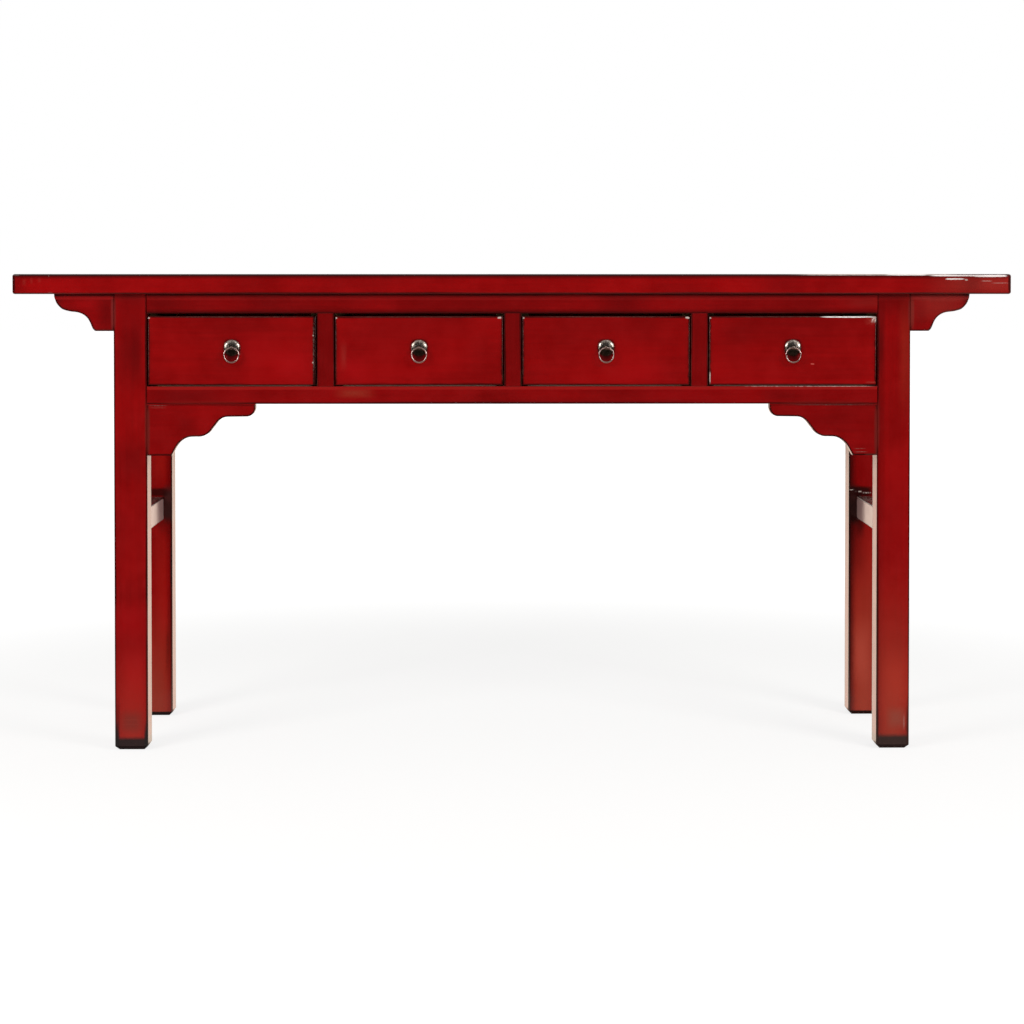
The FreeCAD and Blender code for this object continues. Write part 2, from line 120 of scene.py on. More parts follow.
def fade(tree, value, start, end, low=0.0, high=1.0):
    """low at start and before it, high at end and past it, smooth between."""
    sockets = {"Value": value, "From Min": start, "From Max": end, "To Min": low, "To Max": high}
    return add(tree, "MapRange", sockets, interpolation_type="SMOOTHSTEP").outputs["Result"]


def mixed(tree, share, first, second):
    """Two colours mixed by a share."""
    return add(tree, "Mix", {0: share, 6: first, 7: second}, data_type="RGBA").outputs[2]


def cloud(tree, place, scale, detail=2.0, roughness=0.5):
    """Noise from 0 to 1, mostly near a half."""
    sockets = {"Vector": place, "Scale": scale, "Detail": detail, "Roughness": roughness}
    return add(tree, "TexNoise", sockets).outputs[0]


def object_place(tree):
    """A point's place in the table's frame."""
    return add(tree, "TexCoord").outputs["Object"]


def effect(name, inputs, outputs):
    """A node group with its named sockets: the tree, what comes in and where it goes out."""
    tree = bpy.data.node_groups.new(name, "ShaderNodeTree")
    for label, kind, value in inputs:
        socket = tree.interface.new_socket(label, in_out="INPUT", socket_type="NodeSocket" + kind)
        socket.default_value = value
    for label, kind in outputs:
        tree.interface.new_socket(label, in_out="OUTPUT", socket_type="NodeSocket" + kind)
    return tree, tree.nodes.new("NodeGroupInput").outputs, tree.nodes.new("NodeGroupOutput").inputs


def placed(tree, group, sockets):
    """An effect placed in a material's tree with its own values."""
    return add(tree, "Group", sockets, node_tree=group).outputs


# Effects that several materials share

# Distance at which an outline's edge counts as far, and how well two normals agree on the edge
EDGE_BAND = 0.005
EDGE_AGREEMENT = 0.93


def board_edges_effect():
    """How far a point of a board's face lies from the board's nearest edge."""
    tree, given, out = effect(
        "board edges",
        (("Place", "Vector", (0, 0, 0)), ("Low", "Vector", (0, 0, 0)), ("High", "Vector", (1, 1, 1))),
        (("Distance", "Float"),))
    above = vector_calc(tree, "SUBTRACT", given["Place"], given["Low"])
    below = vector_calc(tree, "SUBTRACT", given["High"], given["Place"])
    near = vector_calc(tree, "ABSOLUTE", vector_calc(tree, "MINIMUM", above, below))
    x, y, z = parts(tree, near)
    least = calc(tree, "MINIMUM", x, y)
    most = calc(tree, "MAXIMUM", x, y)
    feed(tree, out["Distance"], calc(tree, "MAXIMUM", least, calc(tree, "MINIMUM", most, z)))
    return tree


def outline_edges_effect():
    """How far a point lies from a sawn outline's edge, up to 5 mm, read from the rounded normal."""
    tree, given, out = effect("outline edges", (("Reach", "Float", 0.003),), (("Distance", "Float"),))
    rounded = add(tree, "Bevel", {"Radius": given["Reach"]}, samples=8).outputs[0]
    flat = add(tree, "NewGeometry").outputs["True Normal"]
    agreement = vector_number(tree, "DOT_PRODUCT", rounded, flat)
    feed(tree, out["Distance"], fade(tree, agreement, EDGE_AGREEMENT, 1.0, 0.0, EDGE_BAND))
    return tree


def old_lacquer_effect():
    """Brushed red lacquer: cloudy, streaked along the grain, sooty and rubbed at the edges."""
    tree, given, out = effect(
        "old lacquer",
        (("Place", "Vector", (0, 0, 0)), ("Grain", "Vector", (0.05, 1, 1)), ("Distance", "Float", 1.0),
         ("Deep", "Color", (0, 0, 0, 1)), ("Bright", "Color", (0, 0, 0, 1)),
         ("Soot", "Float", 0.6), ("Rubbed", "Float", 0.5)),
        (("Color", "Color"), ("Roughness", "Float"), ("Height", "Float")))
    place = given["Place"]
    along = vector_calc(tree, "MULTIPLY", place, given["Grain"])
    clouds = cloud(tree, place, 5.0, 2.0, 0.5)
    blots = cloud(tree, place, 31.0, 3.0, 0.6)
    streaks = cloud(tree, along, 130.0, 4.0, 0.62)
    brush = cloud(tree, along, 750.0, 2.0)
    waves = cloud(tree, place, 38.0, 1.0)
    grit = cloud(tree, place, 900.0, 2.0)

    # Deep and bright red in clouds and streaks, with dark dots and thin streaks
    shade = calc(tree, "MULTIPLY_ADD", clouds, 0.60, calc(tree, "MULTIPLY", blots, 0.18))
    shade = calc(tree, "MULTIPLY_ADD", streaks, 0.22, shade)
    colour = mixed(tree, fade(tree, shade, 0.36, 0.64), given["Deep"], given["Bright"])
    dots = fade(tree, grit, 0.68, 0.76, 0.0, 0.22)
    colour = mixed(tree, dots, colour, tone(84, 3, 4))
    thin_streaks = fade(tree, cloud(tree, along, 210.0, 3.0, 0.7), 0.60, 0.74, 0.0, 0.13)
    colour = mixed(tree, thin_streaks, colour, tone(84, 4, 5))

    # Soot that thickens towards an edge, and wood laid bare on the edge itself
    ragged = calc(tree, "SUBTRACT", cloud(tree, along, 110.0, 4.0, 0.65), 0.5)
    sooty = calc(tree, "MULTIPLY_ADD", ragged, -0.007, given["Distance"])
    soot = calc(tree, "MULTIPLY", fade(tree, sooty, 0.0010, 0.0040, 1.0, 0.0), given["Soot"])
    colour = mixed(tree, soot, colour, tone(34, 4, 4))
    touched = calc(tree, "MULTIPLY_ADD", ragged, 0.003, given["Distance"])
    thin = fade(tree, touched, 0.0003, 0.0010, 1.0, 0.0)
    worn = calc(tree, "MULTIPLY", thin, fade(tree, cloud(tree, place, 23.0, 3.0), 0.50, 0.60))
    worn = calc(tree, "MULTIPLY", worn, given["Rubbed"])
    feed(tree, out["Color"], mixed(tree, worn, colour, tone(150, 104, 88)))

    # Gloss, and the relief of the brush
    rough = calc(tree, "MULTIPLY_ADD", blots, 0.14, 0.10)
    feed(tree, out["Roughness"], calc(tree, "MULTIPLY_ADD", worn, 0.30, rough))
    height = calc(tree, "MULTIPLY_ADD", streaks, 0.30, calc(tree, "MULTIPLY", waves, 0.55))
    height = calc(tree, "MULTIPLY_ADD", brush, 0.06, height)
    feed(tree, out["Height"], calc(tree, "MULTIPLY_ADD", worn, -0.25, height))
    return tree


def patch_effect():
    """A mask over a ragged patch around a place, for a stain, chip, scratch, rubbed spot, painted shade or
    painted highlight.
    """
    tree, given, out = effect(
        "patch",
        (("Place", "Vector", (0, 0, 0)), ("Centre", "Vector", (0, 0, 0)), ("Reach", "Vector", (1, 1, 1)),
         ("Soft", "Float", 0.4), ("Ragged", "Float", 0.002), ("Broken", "Float", 0.0),
         ("Strength", "Float", 1.0)),
        (("Mask", "Float"),))
    coarse = add(tree, "TexNoise", {"Vector": given["Place"], "Scale": 150.0, "Detail": 4.0})
    push = vector_calc(tree, "SUBTRACT", coarse.outputs["Color"], (0.5, 0.5, 0.5))
    push = add(tree, "VectorMath", {0: push, "Scale": given["Ragged"]}, operation="SCALE").outputs[0]
    pushed = vector_calc(tree, "ADD", given["Place"], push)
    from_centre = vector_calc(tree, "SUBTRACT", pushed, given["Centre"])
    shares = vector_calc(tree, "ABSOLUTE", vector_calc(tree, "DIVIDE", from_centre, given["Reach"]))
    squares = vector_calc(tree, "MULTIPLY", shares, shares)
    x, y, z = parts(tree, vector_calc(tree, "MULTIPLY", squares, squares))
    furthest = calc(tree, "POWER", calc(tree, "ADD", calc(tree, "ADD", x, y), z), 0.25)
    inside = fade(tree, furthest, calc(tree, "SUBTRACT", 1.0, given["Soft"]), 1.0, 1.0, 0.0)
    flecks = fade(tree, cloud(tree, given["Place"], 360.0, 3.0, 0.6), 0.46, 0.56)
    kept = calc(tree, "MULTIPLY_ADD", calc(tree, "SUBTRACT", flecks, 1.0), given["Broken"], 1.0)
    feed(tree, out["Mask"], calc(tree, "MULTIPLY", calc(tree, "MULTIPLY", inside, kept), given["Strength"]))
    return tree


def plain_wood_effect():
    """Planed softwood, a little dusty, with its grain along one axis."""
    tree, given, out = effect(
        "plain wood",
        (("Place", "Vector", (0, 0, 0)), ("Grain", "Vector", (0.04, 1, 1))),
        (("Color", "Color"), ("Roughness", "Float"), ("Height", "Float")))
    along = vector_calc(tree, "MULTIPLY", given["Place"], given["Grain"])
    rings = cloud(tree, along, 55.0, 3.0, 0.55)
    lines = calc(tree, "FRACT", calc(tree, "MULTIPLY", rings, 9.0))
    late = fade(tree, lines, 0.55, 0.95)
    fibre = cloud(tree, along, 900.0, 3.0, 0.6)
    dirt = cloud(tree, given["Place"], 9.0, 3.0, 0.6)
    colour = mixed(tree, late, tone(186, 146, 98), tone(148, 104, 62))
    colour = mixed(tree, fade(tree, fibre, 0.42, 0.62, 0.0, 0.4), colour, tone(120, 82, 48))
    colour = mixed(tree, fade(tree, dirt, 0.45, 0.68, 0.0, 0.45), colour, tone(96, 74, 52))
    feed(tree, out["Color"], colour)
    feed(tree, out["Roughness"], calc(tree, "MULTIPLY_ADD", fibre, 0.2, 0.52))
    feed(tree, out["Height"], calc(tree, "MULTIPLY_ADD", late, 0.3, calc(tree, "MULTIPLY", fibre, 0.5)))
    return tree


def tarnish_effect():
    """White metal gone grey-brown in patches and pitted, with painted shade darkening it low down."""
    tree, given, out = effect(
        "tarnish",
        (("Place", "Vector", (0, 0, 0)), ("Clean", "Color", (0.5, 0.5, 0.5, 1)),
         ("Roughness", "Float", 0.2), ("Amount", "Float", 0.5), ("Dark below", "Float", -1.0)),
        (("Color", "Color"), ("Roughness", "Float"), ("Height", "Float")))
    bloom = cloud(tree, given["Place"], 260.0, 4.0, 0.6)
    spots = cloud(tree, given["Place"], 1100.0, 3.0, 0.6)
    dull = calc(tree, "MULTIPLY", fade(tree, bloom, 0.40, 0.62), given["Amount"])
    colour = mixed(tree, dull, given["Clean"], tone(112, 98, 86))
    # Painted shade darkens the metal below a given height
    level = parts(tree, given["Place"])[2]
    depth = calc(tree, "SUBTRACT", calc(tree, "MULTIPLY_ADD", bloom, 0.004, level), given["Dark below"])
    low_shade = fade(tree, depth, 0.0005, 0.0045, 0.9, 0.0)
    colour = mixed(tree, low_shade, colour, tone(44, 36, 26))
    pits = fade(tree, spots, 0.62, 0.72)
    colour = mixed(tree, calc(tree, "MULTIPLY", pits, 0.6), colour, tone(52, 44, 38))
    feed(tree, out["Color"], colour)
    rough = calc(tree, "MULTIPLY_ADD", dull, 0.18, given["Roughness"])
    rough = calc(tree, "MULTIPLY_ADD", low_shade, 0.25, rough)
    feed(tree, out["Roughness"], calc(tree, "MULTIPLY_ADD", pits, 0.2, rough))
    feed(tree, out["Height"], calc(tree, "MULTIPLY_ADD", pits, -0.5, calc(tree, "MULTIPLY", bloom, 0.8)))
    return tree


board_edges = board_edges_effect()
outline_edges = outline_edges_effect()
old_lacquer = old_lacquer_effect()
patch = patch_effect()
plain_wood = plain_wood_effect()
tarnish = tarnish_effect()


# Materials

def new_material(name):
    """A new material, its shader tree and its Principled surface."""
    material = bpy.data.materials.new(name)
    material.use_nodes = True
    tree = material.node_tree
    surface = tree.nodes["Principled BSDF"]
    return material, tree, surface


def finish(tree, surface, colour, rough, height, relief):
    """Links an effect's colour, roughness and height, the height as a bump of relief metres."""
    feed(tree, surface.inputs["Base Color"], colour)
    feed(tree, surface.inputs["Roughness"], rough)
    bump = add(tree, "Bump", {"Height": height})
    bump.inputs["Strength"].default_value = 1.0
    bump.inputs["Distance"].default_value = relief
    feed(tree, surface.inputs["Normal"], bump.outputs[0])


# Stretch of the streaks for a board whose grain runs along X, Y or Z
GRAINS = {"x": (0.05, 1, 1), "y": (1, 0.05, 1), "z": (1, 1, 0.05)}

# Tones of the marks: stains, soot and wear, and painted shade, highlights and reflections
BLACK = tone(24, 22, 25)
FOOT_GREY = tone(40, 30, 29)
# This dark tone marks soot on edges and joints, and is also painted shade under the top, round the pulls
# and beside the stretchers
SOOT_AND_SHADE = tone(40, 8, 7)
SHADE = tone(66, 3, 4)
GREY = tone(112, 92, 84)
WHITE = tone(250, 244, 240)
PALE = tone(214, 196, 186)
# This brown is a stain on the lower rail, and also a painted sheen of the floor's reflection low on the
# rear left leg
BROWN_STAIN_AND_SHEEN = tone(146, 54, 36)
# This brownish tone is a painted sheen, the floor's and room's reflection on the legs
PAINTED_SHEEN = tone(162, 54, 36)
PINK = tone(148, 52, 44)
LIVELY = tone(164, 6, 12)

# How red each kind of piece is, by the start of its name, as a display tone
REDS = (("top_", 139), ("leg_", 137), ("front_top", 127), ("front_bottom", 126), ("drawer_dividers", 120),
        ("drawer_", 137), ("lower_spandrel", 131), ("wing_", 126), ("side_stretcher", 128))
PLAIN_RED = 128


def red_of(node):
    """The display red of a piece by its name."""
    for start, level in REDS:
        if node.startswith(start):
            return level
    return PLAIN_RED


def grain_of(low, high):
    """The axis along which a piece is longest."""
    sizes = high - low
    return "xyz"[max(range(3), key=lambda i: sizes[i])]


# A piece's number times this moves its streaks, so that no two pieces show the same
LACQUER_SHIFT = (0.37, 0.61, 0.23)
WOOD_SHIFT = (0.41, 0.29, 0.17)

# Soot at the edges of boards and of sawn outlines, wear, and how far an outline's edge is looked for
BOARD_SOOT = 0.8
OUTLINE_SOOT = 0.95
RUBBED = 0.1
OUTLINE_SEARCH = 0.008

# Height of the relief in metres
RELIEF = 0.0002
WOOD_RELIEF = 0.0003


def own_place(tree, number, shift):
    """The place on a piece, moved by its own step."""
    return vector_calc(tree, "ADD", object_place(tree), tuple(number * size for size in shift))


def lacquered(node, number, marks=(), box=None, pitch=None, outlined=False):
    """A piece's worn red lacquer, with edges from its box, a repeated box or its outline, and marks."""
    low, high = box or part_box(node)
    red = red_of(node)
    material, tree, surface = new_material("lacquer_" + node)
    place = object_place(tree)
    if outlined:
        sawn = placed(tree, outline_edges, {"Reach": OUTLINE_SEARCH})["Distance"]
        at_joint = fade(tree, parts(tree, place)[2], high.z - 0.010, high.z - 0.006, 0.0, EDGE_BAND)
        distance = calc(tree, "MAXIMUM", sawn, at_joint)
    else:
        spot = place
        if pitch:
            half = tuple(size / 2 for size in pitch)
            spot = vector_calc(tree, "WRAP", place, half, tuple(-size for size in half))
        distance = placed(tree, board_edges, {"Place": spot, "Low": low, "High": high})["Distance"]
    coat = placed(tree, old_lacquer, {
        "Place": own_place(tree, number, LACQUER_SHIFT), "Grain": GRAINS[grain_of(low, high)],
        "Distance": distance, "Deep": tone(red * 0.91, 1.5, 2.5), "Bright": tone(red * 1.09, 3, 5),
        "Soot": OUTLINE_SOOT if outlined else BOARD_SOOT, "Rubbed": RUBBED})
    colour, rough = coat["Color"], coat["Roughness"]
    for middle, reach, paint, strength, soft, ragged, broken in marks:
        mask = placed(tree, patch, {
            "Place": place, "Centre": Vector(middle) * MM, "Reach": Vector(reach) * MM, "Soft": soft,
            "Ragged": ragged * MM, "Broken": broken, "Strength": strength})["Mask"]
        colour = mixed(tree, mask, colour, paint)
        if paint in (GREY, WHITE, PALE):
            rough = calc(tree, "MULTIPLY_ADD", mask, 0.3, rough)
    surface.inputs["IOR"].default_value = 1.5
    finish(tree, surface, colour, rough, coat["Height"], RELIEF)
    return material


def bare(node, number):
    """Bare planed wood for a piece inside the table, with painted shade darkening its underside."""
    low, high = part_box(node)
    material, tree, surface = new_material("wood_" + node)
    wood = placed(tree, plain_wood, {
        "Place": own_place(tree, number, WOOD_SHIFT), "Grain": GRAINS[grain_of(low, high)]})
    facing = parts(tree, add(tree, "NewGeometry").outputs["True Normal"])
    # Painted shade on faces turned downwards
    underside_shade = fade(tree, facing[2], -0.9, -0.6, 0.9, 0.0)
    colour = mixed(tree, underside_shade, wood["Color"], tone(44, 26, 18))
    if node == "top_cross_battens":
        painted_ends = fade(tree, calc(tree, "ABSOLUTE", facing[1]), 0.8, 0.9)
        colour = mixed(tree, painted_ends, colour, tone(104, 6, 8))
    finish(tree, surface, colour, wood["Roughness"], wood["Height"], WOOD_RELIEF)
    return material


def tarnished(name, clean, roughness, amount, dark_below=-1.0):
    """The white metal of the pulls."""
    material, tree, surface = new_material(name)
    surface.inputs["Metallic"].default_value = 1.0
    metal = placed(tree, tarnish, {
        "Place": object_place(tree), "Clean": clean, "Roughness": roughness, "Amount": amount,
        "Dark below": dark_below})
    finish(tree, surface, metal["Color"], metal["Roughness"], metal["Height"], RELIEF)
    return material


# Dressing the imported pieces

METAL_ENDS = ("_pull_plate", "_pull_pin", "_pull_ring")
BARE_ENDS = ("_sides", "_back", "_bottom", "_battens", "_runners", "_guides", "_kickers", "_stops")
OUTLINED_STARTS = ("wing_bracket", "lower_spandrel")

# Marks of use, and of painted shade, highlights and reflections, each as its middle and half sizes in
# millimetres, its tone, strength, softness of the border as a share of the half size, raggedness in
# millimetres, and how far it is broken into flecks
TOP_MARKS = (
    ((0, -200, 863.5), (2500, 9, 10.5), SHADE, 0.70, 0.6, 1.5, 0),
    ((0, -200, 863.5), (2500, 9, 4.6), SOOT_AND_SHADE, 0.88, 0.35, 0.6, 0),
    # A painted highlight along the right of the top's front arris, partly a worn pale edge
    ((690, -199, 862.6), (200, 6, 1.7), PALE, 0.75, 0.3, 0.8, 0.3),
    ((712, -199, 862.4), (42, 6, 1.6), WHITE, 0.8, 0.3, 0.6, 0.1),
    ((822, -200, 860.8), (72, 6, 1.5), WHITE, 0.95, 0.2, 0.5, 0.05),
    ((862, -200, 860.2), (33, 6, 2.1), WHITE, 1.0, 0.2, 0.5, 0),
    ((838, -198, 863.0), (62, 6, 1.3), SOOT_AND_SHADE, 0.95, 0.4, 0.4, 0),
    # A painted highlight in a streak just under the arris, with pale wear
    ((799, -200, 854.6), (19, 4, 1.5), WHITE, 1.0, 0.3, 0.8, 0),
    ((819.4, -200, 853.1), (3, 4, 1.8), PALE, 1.0, 0.4, 0.6, 0),
    ((856, -200, 851.0), (12, 4, 1.2), PALE, 0.55, 0.6, 1.0, 0.3),
    ((881, -200, 847.3), (19, 4, 1.1), PALE, 0.4, 0.7, 1.0, 0.3),
    # A pinkish painted sheen over the right end, the room's reflection
    ((850, -200, 845), (130, 15, 26), PINK, 0.50, 1.0, 3, 0),
    ((897.5, -200, 845), (3, 4, 20), SOOT_AND_SHADE, 0.8, 0.5, 1, 0),
    ((-897.5, -200, 845), (3, 4, 20), SOOT_AND_SHADE, 0.8, 0.5, 1, 0),
    ((-893, -200, 861.4), (7, 4, 1.4), GREY, 0.5, 0.5, 1, 0),
    ((-895, -200, 845), (26, 15, 30), SHADE, 0.30, 1.0, 3, 0),
    ((-290, -200, 845), (170, 15, 40), SHADE, 0.13, 1.0, 3, 0),
    ((485, -200, 845), (70, 15, 40), SHADE, 0.34, 1.0, 3, 0),
    ((828, -200, 845), (34, 15, 40), SHADE, 0.30, 1.0, 3, 0),
    ((-879, -200, 849), (4.5, 3, 9), PINK, 0.25, 0.9, 3, 0.2),
    ((-866, -200, 851), (3, 3, 8), PINK, 0.25, 0.9, 3, 0.2),
    ((-852, -200, 852), (4, 3, 6), PINK, 0.25, 0.9, 3, 0.2),
    ((-834.9, -200, 860.6), (1.2, 4, 2.6), GREY, 0.35, 0.4, 0.5, 0),
    ((-832.7, -200, 830.2), (5, 4, 1.8), GREY, 0.25, 0.5, 1, 0),
    ((0, -200, 827.5), (2500, 9, 4.0), SHADE, 0.3, 0.8, 1.5, 0),
    ((0, -66.7, 863.5), (1500, 0.9, 2), SOOT_AND_SHADE, 0.7, 0.6, 0.6, 0.5),
    ((0, 66.7, 863.5), (1500, 0.9, 2), SOOT_AND_SHADE, 0.7, 0.6, 0.6, 0.5),
)
DRAWER_MIDDLES = tuple((i - 1.5) * DRAWER_PITCH for i in range(4))
FRONT_HALF = 151.75
PULL_LEVEL = 722.5


def front_marks(middle, chipped=(-1, 1)):
    """Worn pale lines round a drawer front, its chipped upper corners, painted shade towards its top, and a
    painted shadow about its pull.
    """

    def border(side, inwards):
        return middle + side * (FRONT_HALF - inwards)

    marks = [
        # Painted shade over the upper part of the front, under the rail
        ((middle, -185, 790), (190, 15, 70), SHADE, 0.17, 1.0, 3, 0),
        # Painted shadow of the plate and ring about the pull, darkest in a thin ring round the plate
        ((middle, -185, PULL_LEVEL), (26, 15, 28), SHADE, 0.65, 1.0, 3, 0),
        ((middle, -185, PULL_LEVEL - 5), (15, 6, 17), tone(44, 3, 5), 0.75, 0.7, 1.5, 0),
        ((middle, -185, 731), (17.5, 6, 17), SOOT_AND_SHADE, 0.7, 0.3, 1.0, 0),
        ((middle, -185, 786.0), (FRONT_HALF, 3, 0.9), GREY, 0.35, 0.5, 0.8, 0.6),
    ]
    for side in (-1, 1):
        marks.append(((border(side, 1.0), -185, 725), (1.1, 3, 60), GREY, 0.45, 0.5, 1.0, 0.6))
        marks.append(((border(side, 0.0), -185, 725), (10, 15, 62), SHADE, 0.35, 1.0, 2, 0))
    for side in chipped:
        marks.append(((border(side, 2.0), -185, 784), (2.2, 3, 1.8), PALE, 0.7, 0.5, 0.8, 0.2))
    return marks


def leg_marks(side, face_y, foot, foot_paint, sheen_height, sheen, strength):
    """The black foot of a leg, a painted sheen of the floor's reflection above it, soot down the two edges
    of its front, and a lighter band of painted light under the top.
    """
    middle = side * LEG_MIDDLE_X
    return [
        # A painted sheen, the floor's reflection low on the leg
        ((middle, face_y, 0), (45, 20, sheen_height), sheen, strength, 1.0, 3, 0),
        ((side * 662.6, face_y, 0), (3.6, 6, 540), SOOT_AND_SHADE, 0.75, 0.5, 0.5, 0),
        ((side * 662.8, face_y, 725), (3.0, 6, 72), SOOT_AND_SHADE, 0.6, 0.5, 0.5, 0),
        ((side * 662.5, face_y, 590), (4.0, 6, 56), tone(112, 24, 20), 0.8, 0.5, 0.8, 0),
        ((side * 720.0, face_y, 793), (4.2, 6, 34), tone(118, 28, 25), 0.85, 0.5, 0.8, 0),
        # A lighter band under the top, painted light against the top's shadow
        ((middle, face_y, 820), (60, 9, 5.5), tone(150, 18, 18), 0.5, 0.8, 1.0, 0),
        ((side * 661.5, face_y + 48, 0), (6, 10, 820), SOOT_AND_SHADE, 0.85, 0.4, 0.5, 0),
        ((side * 720.8, face_y, 0), (3.0, 6, 762), SOOT_AND_SHADE, 0.6, 0.7, 0.5, 0),
        ((middle, face_y, 835), (60, 15, 75), SHADE, 0.5, 1.0, 3, 0),
        ((middle, face_y + 25, 0), (90, 90, foot), foot_paint, 0.97, 0.35, 2.0, 0),
    ]


